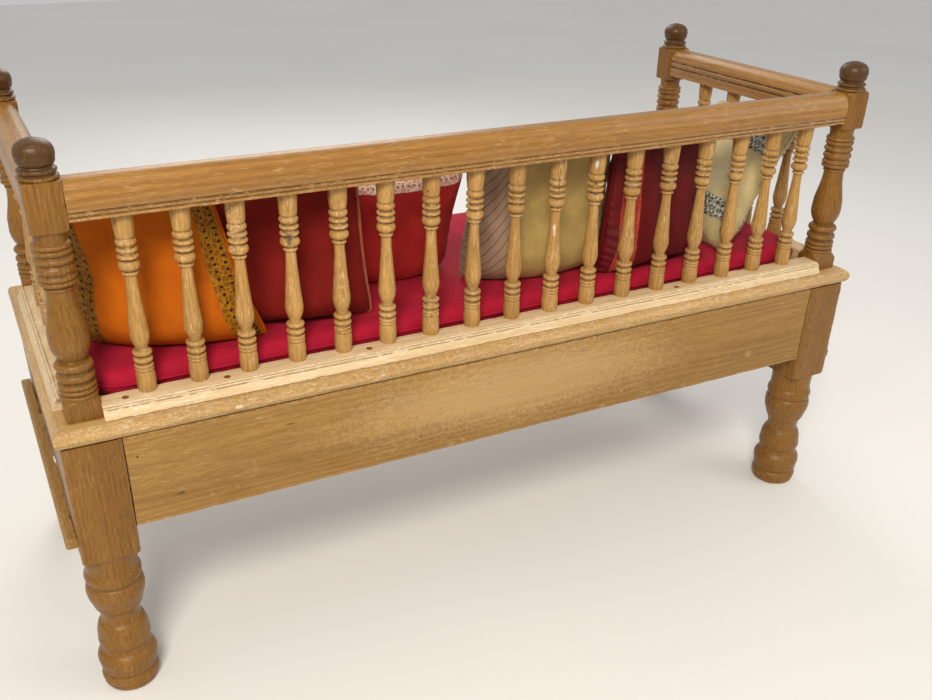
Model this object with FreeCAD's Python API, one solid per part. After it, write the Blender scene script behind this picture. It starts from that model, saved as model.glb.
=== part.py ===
import FreeCAD, Part

import os

# Back-railed daybed of turned hardwood: four legs, a mitred seat moulding, turned posts at the
# corners, a spindle rail along the back and both ends, an open front, a thin mattress and loose
# cushions. Millimetres. +Z up, front towards -Y, origin on the floor under the middle of the bed.

V = FreeCAD.Vector
X_AXIS = V(1, 0, 0)
Y_AXIS = V(0, 1, 0)
Z_AXIS = V(0, 0, 1)

# Overall sizes
POST_SPACING_X = 1430.0
POST_SPACING_Y = 520.0
SEAT_UNDERSIDE = 476.0
SPINDLE_LENGTH = 270.0

# Square stock and boards
LEG_WIDTH = 87.0
LEG_BLOCK_HEIGHT = 205.0
POST_WIDTH = 50.0
POST_TOP_BLOCK_BELOW_RAIL = 11.0
RAIL_WIDTH = 50.0
RAIL_HEIGHT = 56.0
MOULDING_THICKNESS = 30.0
MOULDING_OVERHANG = 50.0
MOULDING_INNER = 34.0
REBATE_WIDTH = 14.0
DECK_THICKNESS = 16.0
LEDGE_THICKNESS = 20.0
LEDGE_INNER = 8.0
LEDGE_OUTER = 37.0
APRON_THICKNESS = 26.0
APRON_HEIGHT = 157.0
APRON_RECESS = 2.0
LIP_WIDTH = 18.0
LIP_HEIGHT = 18.0
LIP_DROP = 20.0
LIP_END_INSET = 15.0

# Spindles, with the distance from a post's axis to the nearest spindle's
SPINDLE_RADIUS = 15.0
BACK_SPINDLES = 17
BACK_END_GAP = 95.0
END_SPINDLES = 4
SIDE_END_GAP = 125.0

# Joints
TENON_CLEARANCE = 0.2
SPINDLE_TENON_RADIUS = 7.0
SPINDLE_TENON_LENGTH = 13.0
RAIL_TENON_LENGTH = 16.0
RAIL_TENON_THICKNESS = 14.0
RAIL_TENON_HEIGHT = 32.0
POST_DOWEL_RADIUS = 12.0
POST_DOWEL_DEPTH = 28.0
APRON_TENON_LENGTH = 26.0
APRON_TENON_THICKNESS = 12.0
APRON_TENON_HEIGHT = 100.0

# Deck and soft goods
DECK_BOARDS = 12
DECK_GAP = 6.0
MATTRESS_HEIGHT = 43.0
MATTRESS_SIDE_GAP = 1.5
MATTRESS_EDGE_ROUNDING = 10.0
SOFT_CLEARANCE = 0.5

# Levels and places that follow from the sizes above
HALF_X = POST_SPACING_X / 2
HALF_Y = POST_SPACING_Y / 2
POST_HALF = POST_WIDTH / 2
LEG_HALF = LEG_WIDTH / 2
MOULDING_TOP = SEAT_UNDERSIDE + MOULDING_THICKNESS
LEDGE_TOP = MOULDING_TOP + LEDGE_THICKNESS
RAIL_UNDERSIDE = LEDGE_TOP + SPINDLE_LENGTH
RAIL_TOP = RAIL_UNDERSIDE + RAIL_HEIGHT
TOP_BLOCK_BOTTOM = RAIL_UNDERSIDE - POST_TOP_BLOCK_BELOW_RAIL
FOOT_HEIGHT = SEAT_UNDERSIDE - LEG_BLOCK_HEIGHT
APRON_BOTTOM = SEAT_UNDERSIDE - APRON_HEIGHT
APRON_OUTER = LEG_HALF - APRON_RECESS
APRON_MIDDLE = APRON_OUTER - APRON_THICKNESS / 2
MATTRESS_TOP = MOULDING_TOP + SOFT_CLEARANCE + MATTRESS_HEIGHT
MATTRESS_CORNER = POST_WIDTH + 2

# The turned patterns are drawn at these sizes and stretched to the sizes above
PATTERN_FOOT_HEIGHT = 271.0
PATTERN_LEG_WIDTH = 87.0
PATTERN_POST_HEIGHT = 251.0
PATTERN_POST_WIDTH = 50.0
PATTERN_SPINDLE_LENGTH = 270.0
PATTERN_SPINDLE_RADIUS = 15.0
SPINDLE_HEAD = 90.0
POST_HEAD = 86.0
POST_BLOCK_HEIGHT = 33.0
POST_TURNING_START = 28.0

NODES = {}


class Outline:
    """Half outline of a turned piece, drawn upwards from the bottom, then spun about Z.

    Rises and radii are given at the pattern's size; up and out stretch them to the real one.
    """

    def __init__(self, z, radius, up=1.0, out=1.0):
        self.start = z
        self.up = up
        self.out = out
        self.rise = 0.0
        self.radius = radius
        self.edges = [Part.makeLine(V(0, 0, z), self.point())]

    def point(self, back=0.0, radius=None):
        radius = self.radius if radius is None else radius
        return V(radius * self.out, 0, self.start + (self.rise - back) * self.up)

    def left_to(self, z):
        """Rise that is left to a real height, in the pattern's size."""
        return (z - self.start) / self.up - self.rise

    def to(self, rise, radius):
        """Straight stretch to a new height and radius."""
        start = self.point()
        self.rise += rise
        self.radius = radius
        if start.distanceToPoint(self.point()) > 1e-6:
            self.edges.append(Part.makeLine(start, self.point()))
        return self

    def arc(self, rise, radius, middle_radius):
        """Arc to a new height and radius, through middle_radius halfway up."""
        start = self.point()
        self.rise += rise
        self.radius = radius
        middle = self.point(rise / 2, middle_radius)
        self.edges.append(Part.Arc(start, middle, self.point()).toShape())
        return self

    def ring(self, rise, radius):
        """Half-round ring that stands out of its neck; rings that meet need a neck as wide as they are."""
        neck = self.radius
        shoulder = max(neck, radius - 0.45 * rise)
        self.to(0, shoulder)
        self.arc(rise, shoulder, radius)
        return self.to(0, neck)

    def groove(self, rise, depth):
        """Fine turned groove."""
        return self.arc(rise, self.radius, self.radius - depth)

    def curve(self, stations):
        """Smooth curve through (rise, radius) stations, each measured from where it starts."""
        points = [self.point()]
        points += [self.point(-rise, radius) for rise, radius in stations]
        spline = Part.BSplineCurve()
        spline.interpolate(points)
        self.edges.append(spline.toShape())
        self.rise += stations[-1][0]
        self.radius = stations[-1][1]
        return self

    def solid(self):
        top = V(0, 0, self.point().z)
        self.edges.append(Part.makeLine(self.point(), top))
        self.edges.append(Part.makeLine(top, V(0, 0, self.start)))
        face = Part.Face(Part.Wire(self.edges))
        turned = face.revolve(V(0, 0, 0), Z_AXIS, 360)
        return turned if turned.Volume > 0 else turned.reversed()


def box(x0, x1, y0, y1, z0, z1):
    return Part.makeBox(x1 - x0, y1 - y0, z1 - z0, V(x0, y0, z0))


def moved(shape, x, y, z=0.0, turn=0.0):
    """Copy of a shape, turned about Z and then moved."""
    copy = shape.copy()
    copy.Placement = FreeCAD.Placement(V(x, y, z), FreeCAD.Rotation(Z_AXIS, turn))
    return copy


def prism(points, length):
    """Closed section of (out, up) points, or arcs as (out, up, out, up) pairs, run along X.

    A four-number entry is an arc to its second point through its first. The section lies in the
    YZ plane with 'out' along +Y, and the prism is centred on X = 0.
    """
    start = V(-length / 2, points[0][0], points[0][1])
    here = start
    edges = []
    for entry in points[1:]:
        there = V(-length / 2, entry[-2], entry[-1])
        if len(entry) == 4:
            through = V(-length / 2, entry[0], entry[1])
            edges.append(Part.Arc(here, through, there).toShape())
        else:
            edges.append(Part.makeLine(here, there))
        here = there
    edges.append(Part.makeLine(here, start))
    return Part.Face(Part.Wire(edges)).extrude(V(length, 0, 0))


SIDES = {
    "back": (POST_SPACING_X, HALF_Y, 0.0),
    "front": (POST_SPACING_X, HALF_Y, 180.0),
    "left": (POST_SPACING_Y, HALF_X, 90.0),
    "right": (POST_SPACING_Y, HALF_X, -90.0),
}
RAILED_SIDES = ("back", "left", "right")


def set_on_side(shape, side):
    """Turn a piece drawn for a side that faces +Y, with its post line on Y = 0, to its side."""
    _, offset, turn = SIDES[side]
    copy = shape.copy()
    copy.translate(V(0, offset, 0))
    copy.rotate(V(0, 0, 0), Z_AXIS, turn)
    return copy


def spindle_places(side):
    """Evenly spaced places along a side, between the gaps left beside its posts."""
    count, gap = (BACK_SPINDLES, BACK_END_GAP) if side == "back" else (END_SPINDLES, SIDE_END_GAP)
    reach = SIDES[side][0] / 2 - gap
    return [reach * (2 * i / (count - 1) - 1) for i in range(count)]


# ---------------------------------------------------------------- turned pieces


def spindle():
    """Turned spindle: foot, two discs, vase with three grooves, bulb, two thin discs, cup."""
    out = SPINDLE_RADIUS / PATTERN_SPINDLE_RADIUS
    up = SPINDLE_LENGTH / PATTERN_SPINDLE_LENGTH
    tenon = SPINDLE_TENON_RADIUS / out
    tenon_rise = SPINDLE_TENON_LENGTH / up
    outline = Outline(LEDGE_TOP - SPINDLE_TENON_LENGTH, tenon, up=up, out=out)
    outline.to(tenon_rise, tenon)
    outline.to(0, 13.0).arc(30, 13.4, 14.3).to(2, 12.0)
    outline.ring(5.5, 14.0).ring(5.5, 14.0).to(0, 9.3).to(3, 9.3)
    outline.ring(8, 14.2).to(3, 9.3).ring(8, 14.2).to(0, 8.8).to(4, 8.8)
    outline.curve([(8, 11.9), (18, 13.9), (27, 13.7)])
    for _ in range(3):
        outline.groove(1.4, 0.6).to(3.4, outline.radius - 0.42)
    taper = outline.left_to(RAIL_UNDERSIDE) - SPINDLE_HEAD
    outline.curve([(taper * 0.35, 10.4), (taper * 0.7, 8.7), (taper, 8.0)])
    outline.ring(5, 11.2).to(2, 9.0).ring(14, 15.0).to(3, 10.0)
    outline.ring(6, 14.6).to(4, 10.0).ring(6, 14.6).to(3, 11.0)
    outline.ring(10, 14.5).to(2, 12.2).to(0, 12.8).arc(29, 14.5, 14.1)
    outline.to(outline.left_to(RAIL_UNDERSIDE), 14.5)
    return outline.to(0, tenon).to(tenon_rise, tenon).solid()


def post_turning():
    """Turned stretch of a corner post, from its square foot to its square top block."""
    start = MOULDING_TOP + POST_TURNING_START
    up = (TOP_BLOCK_BOTTOM - start) / PATTERN_POST_HEIGHT
    outline = Outline(start, 24.0, up=up, out=POST_WIDTH / PATTERN_POST_WIDTH)
    outline.to(4, 24.0).to(0, 26.8).arc(7, 25.6, 27.0).to(0, 23.4).to(1, 23.4)
    outline.ring(8, 27.0).ring(8, 27.0).to(0, 22.4).to(3, 22.4)
    outline.ring(12, 27.0).to(0, 21.6).to(4, 21.6).ring(13, 26.9).to(0, 18.5).to(3, 18.5)
    outline.curve([(9, 23.4), (22, 27.4), (31, 28.0)])
    for _ in range(3):
        outline.groove(1.6, 0.8).to(3.6, outline.radius - 0.35)
    taper = outline.left_to(TOP_BLOCK_BOTTOM) - POST_HEAD
    outline.curve([(taper * 0.35, 23.2), (taper * 0.7, 19.8), (taper, 18.6)])
    outline.to(2, 18.2).ring(5, 20.6).to(3, 18.6).to(0, 22.5)
    outline.ring(7, 25.6).ring(7, 25.6).to(0, 22.8).to(3, 22.8)
    outline.ring(11, 26.0).to(3, 22.8).ring(9, 26.4).to(3, 22.8)
    outline.ring(8, 26.0).ring(8, 26.0).to(0, 21.5)
    return outline.arc(outline.left_to(TOP_BLOCK_BOTTOM), 23.5, 21.6).to(2, 23.5).solid()


def finial():
    """Turned finial: two collars and a flattened ball with a pair of grooves."""
    outline = Outline(RAIL_TOP - 2, 22.0, out=POST_WIDTH / PATTERN_POST_WIDTH)
    outline.to(2, 22.0).ring(6, 26.8).to(2.5, 21.8).ring(6.5, 25.4).to(2, 20.0)
    outline.curve([(3, 22.8), (7, 24.7)])
    outline.groove(1.6, 0.8).to(1.8, 25.3).groove(1.6, 0.8).to(0.8, 25.6)
    outline.curve([(6, 25.5), (13, 22.8), (19, 15.0), (22.5, 0.4)])
    return outline.solid()


def post():
    """Corner post in one piece: dowel, square foot with worn shoulders, turning, block, finial."""
    out = POST_WIDTH / PATTERN_POST_WIDTH
    block_height = RAIL_TOP - TOP_BLOCK_BOTTOM
    foot_top = MOULDING_TOP + POST_BLOCK_HEIGHT
    foot_block = box(-POST_HALF, POST_HALF, -POST_HALF, POST_HALF, MOULDING_TOP, foot_top)
    shoulders = Outline(MOULDING_TOP, 40.0, out=out).to(POST_BLOCK_HEIGHT - 13, 40.0)
    shoulders = shoulders.arc(13, 25.0, 31.0).solid()
    top_block = box(-POST_HALF, POST_HALF, -POST_HALF, POST_HALF, TOP_BLOCK_BOTTOM, RAIL_TOP)
    softened = Outline(TOP_BLOCK_BOTTOM, 33.8, out=out).to(3, 35.5).to(block_height - 7, 35.5).to(4, 31.5)
    dowel_bottom = SEAT_UNDERSIDE - POST_DOWEL_DEPTH
    dowel = Part.makeCylinder(POST_DOWEL_RADIUS, MOULDING_TOP + 1 - dowel_bottom, V(0, 0, dowel_bottom))
    pieces = [post_turning(), top_block.common(softened.solid()), finial(), dowel]
    return foot_block.common(shoulders).fuse(pieces).removeSplitter()


def foot_turning():
    """Turned foot of a leg, from the floor up to the square block."""
    up = FOOT_HEIGHT / PATTERN_FOOT_HEIGHT
    outline = Outline(0, 40.0, up=up, out=LEG_WIDTH / PATTERN_LEG_WIDTH)
    outline.arc(8, 44.0, 43.2).to(2, 43.0)
    outline.ring(16, 46.0).to(0, 42.5).to(3, 42.0)
    outline.arc(12, 45.6, 45.0).groove(2, 1.0)
    outline.arc(28, 40.0, 47.4).arc(14, 38.6, 38.2)
    outline.to(0, 41.4).arc(20, 40.4, 42.2).arc(22, 35.2, 39.4).to(3, 31.6)
    outline.arc(28, 36.0, 31.4).to(4, 38.6)
    outline.groove(2, 0.9).to(3, 40.0).groove(2, 0.9)
    outline.curve([(14, 44.4), (27, 45.8), (38, 43.4)])
    outline.to(3, 40.6).ring(22, 44.6)
    outline.to(0, 41.0).arc(outline.left_to(FOOT_HEIGHT), 43.0, 40.4)
    return outline.to(2, 42.0).solid()


def leg(inner_x, inner_y):
    """Leg in one piece: square block over a turned foot, mortised for two aprons and the dowel.

    inner_x and inner_y are +1 or -1: which way the middle of the bed lies.
    """
    block = box(-LEG_HALF, LEG_HALF, -LEG_HALF, LEG_HALF, FOOT_HEIGHT, SEAT_UNDERSIDE)
    block = block.makeChamfer(2.0, [e for e in block.Edges if abs(e.tangentAt(0).z) > 0.9])
    shape = block.fuse(foot_turning()).removeSplitter()
    socket = Part.makeCylinder(POST_DOWEL_RADIUS + TENON_CLEARANCE, POST_DOWEL_DEPTH + 2,
                               V(0, 0, SEAT_UNDERSIDE - POST_DOWEL_DEPTH - 1))
    depth = APRON_TENON_LENGTH + 1
    half = APRON_TENON_THICKNESS / 2 + TENON_CLEARANCE
    low, high = apron_tenon_levels()
    for along, inward in (("x", inner_x), ("y", inner_y)):
        outward = -inner_y if along == "x" else -inner_x
        near, far = sorted((inward * LEG_HALF, inward * (LEG_HALF - depth)))
        low_side, high_side = sorted((outward * (APRON_MIDDLE - half), outward * (APRON_MIDDLE + half)))
        mortise = (near, far, low_side, high_side) if along == "x" else (low_side, high_side, near, far)
        shape = shape.cut(box(*mortise, low - TENON_CLEARANCE, high + TENON_CLEARANCE))
    return shape.cut(socket)


def apron_tenon_levels():
    middle = APRON_BOTTOM + APRON_HEIGHT / 2
    return middle - APRON_TENON_HEIGHT / 2, middle + APRON_TENON_HEIGHT / 2


# ---------------------------------------------------------------- boards and rails


def apron(side):
    """Apron board with a tenon at each end; the end aprons carry a lip that laps over the legs."""
    spacing = SIDES[side][0]
    half_length = spacing / 2 - LEG_HALF
    inner = APRON_OUTER - APRON_THICKNESS
    board = box(-half_length, half_length, inner, APRON_OUTER, APRON_BOTTOM, SEAT_UNDERSIDE)
    low, high = apron_tenon_levels()
    tenon_half = APRON_TENON_THICKNESS / 2
    tenon = box(-half_length - APRON_TENON_LENGTH, half_length + APRON_TENON_LENGTH,
                APRON_MIDDLE - tenon_half, APRON_MIDDLE + tenon_half, low, high)
    shape = board.fuse(tenon)
    if side in ("left", "right"):
        lip_half = spacing / 2 + LEG_HALF - LIP_END_INSET
        bottom = APRON_BOTTOM - LIP_DROP
        lip = box(-lip_half, lip_half, LEG_HALF + 0.3, LEG_HALF + LIP_WIDTH, bottom, bottom + LIP_HEIGHT)
        outside = [e for e in lip.Edges if e.Length > lip_half and e.BoundBox.YMin > LEG_HALF + 1]
        lip = lip.makeChamfer(3.0, outside)
        web = box(-half_length, half_length, inner, LEG_HALF + 1, bottom, APRON_BOTTOM + 1)
        shape = shape.fuse([lip, web])
    return set_on_side(shape.removeSplitter(), side)


def top_rail(side):
    """Top rail: rounded on top, two fine beads along the lower outside edge, tenoned into posts."""
    spacing = SIDES[side][0]
    half_width = RAIL_WIDTH / 2
    z0 = RAIL_UNDERSIDE
    z1 = RAIL_TOP
    section = [
        (-half_width + 1, z0),
        (half_width - 1, z0),
        (half_width - 0.2, z0 + 2, half_width - 1, z0 + 4),
        (half_width - 2.2, z0 + 5.2, half_width - 1, z0 + 6.4),
        (half_width - 0.2, z0 + 8.4, half_width - 1, z0 + 10.4),
        (half_width - 2.4, z0 + 11.6, half_width - 1, z0 + 12.8),
        (half_width + 0.6, z0 + 25, half_width - 1.5, z0 + 37),
        (half_width - 8, z1 - 5.5, 0, z1),
        (-half_width + 8, z1 - 5.5, -half_width + 1.5, z0 + 37),
        (-half_width + 0.4, z0 + 25, -half_width + 1, z0 + 12.8),
        (-half_width + 2.4, z0 + 11.6, -half_width + 1, z0 + 10.4),
    ]
    body = prism(section, spacing - POST_WIDTH)
    tenon_half = RAIL_TENON_THICKNESS / 2
    reach = spacing / 2 - POST_HALF + RAIL_TENON_LENGTH
    middle = z0 + RAIL_HEIGHT / 2
    tenon = box(-reach, reach, -tenon_half, tenon_half,
                middle - RAIL_TENON_HEIGHT / 2, middle + RAIL_TENON_HEIGHT / 2)
    shape = body.fuse(tenon).removeSplitter()
    for place in spindle_places(side):
        shape = shape.cut(spindle_hole(place, z0 - 1))
    return set_on_side(shape, side)


def spindle_hole(place, z):
    return Part.makeCylinder(SPINDLE_TENON_RADIUS + TENON_CLEARANCE, SPINDLE_TENON_LENGTH + 2, V(place, 0, z))


def seat_moulding(side):
    """Mitred board of the seat frame: half-round nose outside, rebate for the deck inside."""
    spacing = SIDES[side][0]
    half = MOULDING_THICKNESS / 2
    centre = SEAT_UNDERSIDE + half
    flat = MOULDING_OVERHANG - half
    rebate = MOULDING_INNER - REBATE_WIDTH
    section = [
        (-MOULDING_INNER, SEAT_UNDERSIDE),
        (flat, SEAT_UNDERSIDE),
        (MOULDING_OVERHANG, centre, flat, MOULDING_TOP),
        (-rebate, MOULDING_TOP),
        (-rebate, MOULDING_TOP - DECK_THICKNESS),
        (-MOULDING_INNER, MOULDING_TOP - DECK_THICKNESS),
    ]
    board = prism(section, spacing + 2 * MOULDING_OVERHANG)
    outer = spacing / 2 + MOULDING_OVERHANG
    inner = spacing / 2 - MOULDING_INNER
    plan = [V(-outer, MOULDING_OVERHANG, 0), V(outer, MOULDING_OVERHANG, 0),
            V(inner, -MOULDING_INNER, 0), V(-inner, -MOULDING_INNER, 0)]
    wedge = Part.Face(Part.makePolygon(plan + plan[:1])).extrude(V(0, 0, RAIL_TOP))
    board = board.common(wedge)
    for place in (-spacing / 2, spacing / 2):
        hole = Part.makeCylinder(POST_DOWEL_RADIUS + TENON_CLEARANCE, MOULDING_THICKNESS + 2,
                                 V(place, 0, SEAT_UNDERSIDE - 1))
        board = board.cut(hole)
    return set_on_side(board, side)


def seat_ledge(side):
    """Ledge that the spindles stand on: a small bead, a fillet and a cove on its outer face."""
    spacing = SIDES[side][0]
    out = LEDGE_OUTER
    z0 = MOULDING_TOP
    z1 = LEDGE_TOP
    section = [
        (-LEDGE_INNER, z0),
        (out + 2, z0),
        (out - 0.6, z0 + 5.5, out - 4, z0 + 12.5),
        (out - 5, z0 + 14),
        (out - 3.6, z1 - 4.6, out - 6.5, z1 - 3.2),
        (out - 8, z1 - 3.2),
        (out - 7.4, z1 - 0.9, out - 10, z1),
        (out - 11, z1),
        (out - 12, z1 - 1.4, out - 13, z1),
        (-LEDGE_INNER, z1),
    ]
    shape = prism(section, spacing - POST_WIDTH)
    if side in RAILED_SIDES:
        for place in spindle_places(side):
            shape = shape.cut(spindle_hole(place, z1 - SPINDLE_TENON_LENGTH - 1))
    return set_on_side(shape, side)


def deck():
    """Loose boards that span front to back in the rebates of the seat moulding."""
    half_y = HALF_Y - MOULDING_INNER + REBATE_WIDTH - 1
    half_x = HALF_X - MOULDING_INNER + REBATE_WIDTH - 1
    width = (2 * half_x - DECK_GAP * (DECK_BOARDS - 1)) / DECK_BOARDS
    boards = []
    for i in range(DECK_BOARDS):
        x0 = -half_x + i * (width + DECK_GAP)
        boards.append(box(x0, x0 + width, -half_y, half_y, MOULDING_TOP - DECK_THICKNESS, MOULDING_TOP))
    return Part.makeCompound(boards)


# ---------------------------------------------------------------- soft goods


def mattress():
    inset = max(LEDGE_INNER, SPINDLE_RADIUS) + MATTRESS_SIDE_GAP
    half_x = HALF_X - inset
    half_y = HALF_Y - inset
    pad = box(-half_x, half_x, -half_y, half_y, MOULDING_TOP + SOFT_CLEARANCE, MATTRESS_TOP)
    upright = [e for e in pad.Edges if e.Length < MATTRESS_HEIGHT + 1]
    pad = pad.makeFillet(MATTRESS_CORNER, upright)
    level = [e for e in pad.Edges if e.BoundBox.ZLength < 0.1]
    return pad.makeFillet(MATTRESS_EDGE_ROUNDING, level)


def rounded_rectangle(width, height, radius, y, z):
    """Upright wire with round corners, centred on X = 0 at depth y, its lowest side at z."""
    half = width / 2
    corners = [V(-half, y, z), V(half, y, z), V(half, y, z + height), V(-half, y, z + height)]
    slab = Part.Face(Part.makePolygon(corners + corners[:1])).extrude(Y_AXIS)
    slab = slab.makeFillet(radius, [e for e in slab.Edges if abs(e.tangentAt(0).y) > 0.9])
    flat = [f for f in slab.Faces if f.BoundBox.YLength < 1e-6 and abs(f.BoundBox.YMin - y) < 1e-6]
    return flat[0].OuterWire


def cushion(width, height, back_bulge, front_bulge, x, y, yaw, lean):
    """Plain stuffed form, thick in the middle and thin at its seam.

    It stands on the mattress with the middle of its bottom seam at x, y, turned by yaw about Z,
    its top tipped by lean towards the rail behind it. The bulges are its half thicknesses.
    """
    inset = CUSHION_EDGE
    seam = rounded_rectangle(width, height, 26.0, 0.0, 0.0)
    halves = []
    for depth in (-front_bulge, back_bulge):
        panel = rounded_rectangle(width - 2 * inset, height - 2 * inset, 20.0, depth, inset)
        halves.append(Part.makeLoft([panel, seam], True, True))
    shape = halves[0].fuse(halves[1]).removeSplitter()
    shape.rotate(V(0, 0, 0), X_AXIS, -lean)
    shape.rotate(V(0, 0, 0), Z_AXIS, yaw)
    shape.translate(V(x, y, MATTRESS_TOP + SOFT_CLEARANCE - shape.BoundBox.ZMin))
    return shape


# The cushions are made to fill a row as long as CUSHION_ROW, and everything in plan grows and
# shrinks with the real row. Each entry gives the width, the height, the back and front bulges,
# how far in from the right-hand post line and from the back rail's inner face the middle of the
# bottom seam stands, yaw and lean.
CUSHION_ROW = 1430.0
CUSHION_EDGE = 60.0
CUSHIONS = {
    "orange": (270.0, 305.0, 26.0, 58.0, 160.0, 83.0, -20.0, 4.5),
    "crimson": (284.0, 305.0, 22.0, 50.0, 356.0, 89.0, -20.0, 4.5),
    "red": (268.0, 272.0, 34.0, 46.0, 566.0, 207.5, -6.0, 24.0),
    "olive": (300.0, 284.0, 44.0, 58.0, 832.0, 115.0, -3.0, 10.0),
    "wine": (276.0, 282.0, 26.0, 40.0, 1060.0, 53.0, 8.0, 4.0),
    "cream": (290.0, 296.0, 34.0, 54.0, 1222.0, 171.0, 84.0, 33.0),
}


# ---------------------------------------------------------------- assembly


def rail_mortises(side_x, side_y):
    """Sockets in a post's top block for the rails that meet there; fronts take one rail only."""
    depth = POST_HALF - RAIL_TENON_LENGTH - 1
    half = RAIL_TENON_THICKNESS / 2 + TENON_CLEARANCE
    middle = RAIL_UNDERSIDE + RAIL_HEIGHT / 2
    low = middle - RAIL_TENON_HEIGHT / 2 - TENON_CLEARANCE
    high = middle + RAIL_TENON_HEIGHT / 2 + TENON_CLEARANCE
    near, far = sorted((-side_y * depth, -side_y * (POST_HALF + 1)))
    cuts = [box(-half, half, near, far, low, high)]
    if side_y > 0:
        near, far = sorted((-side_x * depth, -side_x * (POST_HALF + 1)))
        cuts.append(box(near, far, -half, half, low, high))
    return cuts


def build():
    plain_post = post()
    for end, side_x in (("left", -1), ("right", 1)):
        for face, side_y in (("front", -1), ("back", 1)):
            x, y = side_x * HALF_X, side_y * HALF_Y
            NODES[f"post_{face}_{end}"] = moved(plain_post.cut(rail_mortises(side_x, side_y)), x, y)
            NODES[f"leg_{face}_{end}"] = moved(leg(-side_x, -side_y), x, y)
    for side in SIDES:
        NODES[f"apron_{side}"] = apron(side)
        NODES[f"seat_moulding_{side}"] = seat_moulding(side)
        NODES[f"seat_ledge_{side}"] = seat_ledge(side)
    turned_spindle = spindle()
    for side in RAILED_SIDES:
        NODES[f"top_rail_{side}"] = top_rail(side)
        for i, place in enumerate(spindle_places(side), start=1):
            NODES[f"spindle_{side}_{i:02d}"] = set_on_side(moved(turned_spindle, place, 0), side)
    NODES["deck_boards"] = deck()
    NODES["mattress"] = mattress()
    fit = POST_SPACING_X / CUSHION_ROW
    rail_face = HALF_Y - RAIL_WIDTH / 2
    for name, (width, height, back, front, in_x, in_y, yaw, lean) in CUSHIONS.items():
        x, y = HALF_X - in_x * fit, rail_face - in_y * fit
        NODES[f"cushion_{name}"] = cushion(width * fit, height, back * fit, front * fit, x, y, yaw, lean)


build()
os.makedirs("parts", exist_ok=True)
for node, shape in NODES.items():
    shape.exportStep(f"parts/{node}.step")
print(len(NODES), "nodes")
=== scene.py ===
"""Looks of a turned-wood daybed with a thin mattress and loose cushions, built around its frame.

Metres throughout, in the frame's own axes: +Z up, the open front towards -Y, the railed back
towards +Y, and the origin on the floor under the middle of the bed.
"""

from __future__ import annotations

import logging
import math
from dataclasses import dataclass, field
from enum import Enum

import bpy
import numpy as np
from mathutils import Matrix, Vector


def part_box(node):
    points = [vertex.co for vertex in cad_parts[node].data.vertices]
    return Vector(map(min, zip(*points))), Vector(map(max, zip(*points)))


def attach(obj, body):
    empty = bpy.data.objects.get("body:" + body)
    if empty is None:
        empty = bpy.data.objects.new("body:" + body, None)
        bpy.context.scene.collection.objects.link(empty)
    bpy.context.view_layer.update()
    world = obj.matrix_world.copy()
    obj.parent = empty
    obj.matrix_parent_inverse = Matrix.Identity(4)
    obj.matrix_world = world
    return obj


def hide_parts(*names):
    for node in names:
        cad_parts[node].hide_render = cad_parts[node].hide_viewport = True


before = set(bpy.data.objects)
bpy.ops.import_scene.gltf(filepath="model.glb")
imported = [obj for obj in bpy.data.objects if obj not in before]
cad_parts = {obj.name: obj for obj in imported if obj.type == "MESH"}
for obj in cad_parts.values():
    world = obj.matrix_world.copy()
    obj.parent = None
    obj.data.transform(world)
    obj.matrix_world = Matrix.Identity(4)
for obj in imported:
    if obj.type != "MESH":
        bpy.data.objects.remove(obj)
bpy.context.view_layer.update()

LOG = logging.getLogger("daybed")
BODY = "root"
Colour = tuple[float, float, float]
Array = np.ndarray


class Grain(Enum):
    """Which way the grain of a piece runs, as the row axis it follows."""

    ALONG = (0.07, 1.0, 1.0)
    ACROSS = (1.0, 0.07, 1.0)
    UPRIGHT = (1.0, 1.0, 0.07)


class Side(Enum):
    """Side of the bed, as the turn about Z that brings a piece drawn facing +Y to it."""

    BACK = 0.0
    FRONT = 180.0
    LEFT = 90.0
    RIGHT = -90.0

    @property
    def label(self) -> str:
        """Name of the side as the frame's nodes spell it."""
        return self.name.lower()

    @property
    def is_end(self) -> bool:
        """True for the two short ends."""
        return self in (Side.LEFT, Side.RIGHT)


# ------------------------------------------------------------------ shader maths


class Value:
    """Wraps a shader output, so that sums and products of values add their own Math nodes."""

    def __init__(self, shader: "Shader", socket: bpy.types.NodeSocket) -> None:
        """Keep the shader and the output socket."""
        self.shader = shader
        self.socket = socket

    def _math(self, operation: str, first: "Value | float", second: "Value | float") -> "Value":
        """Add one Math node and return its value."""
        return self.shader.node("ShaderNodeMath", {0: first, 1: second}, operation=operation)

    def __add__(self, other: "Value | float") -> "Value":
        """Sum."""
        return self._math("ADD", self, other)

    __radd__ = __add__

    def __mul__(self, other: "Value | float") -> "Value":
        """Product."""
        return self._math("MULTIPLY", self, other)

    __rmul__ = __mul__

    def __sub__(self, other: "Value | float") -> "Value":
        """Difference."""
        return self._math("SUBTRACT", self, other)

    def __rsub__(self, other: "Value | float") -> "Value":
        """Difference, with the plain number first."""
        return self._math("SUBTRACT", other, self)

    def __pow__(self, power: float) -> "Value":
        """Power."""
        return self._math("POWER", self, power)

    def higher(self, other: "Value | float") -> "Value":
        """The larger of two values."""
        return self._math("MAXIMUM", self, other)

    def lower(self, other: "Value | float") -> "Value":
        """The smaller of two values."""
        return self._math("MINIMUM", self, other)

    def wave(self, period: float) -> "Value":
        """Sine of a length, from -1 to 1, with the given period."""
        return self._math("SINE", self * (2 * math.pi / period), 0.0)

    def size(self) -> "Value":
        """Absolute value."""
        return self._math("ABSOLUTE", self, 0.0)

    def step(self, low: float, high: float) -> "Value":
        """Smooth step: 0 up to low, 1 from high on."""
        return self.shader.node(
            "ShaderNodeMapRange",
            {"Value": self, "From Min": low, "From Max": high, "To Min": 0.0, "To Max": 1.0},
            interpolation_type="SMOOTHSTEP",
        )


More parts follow.
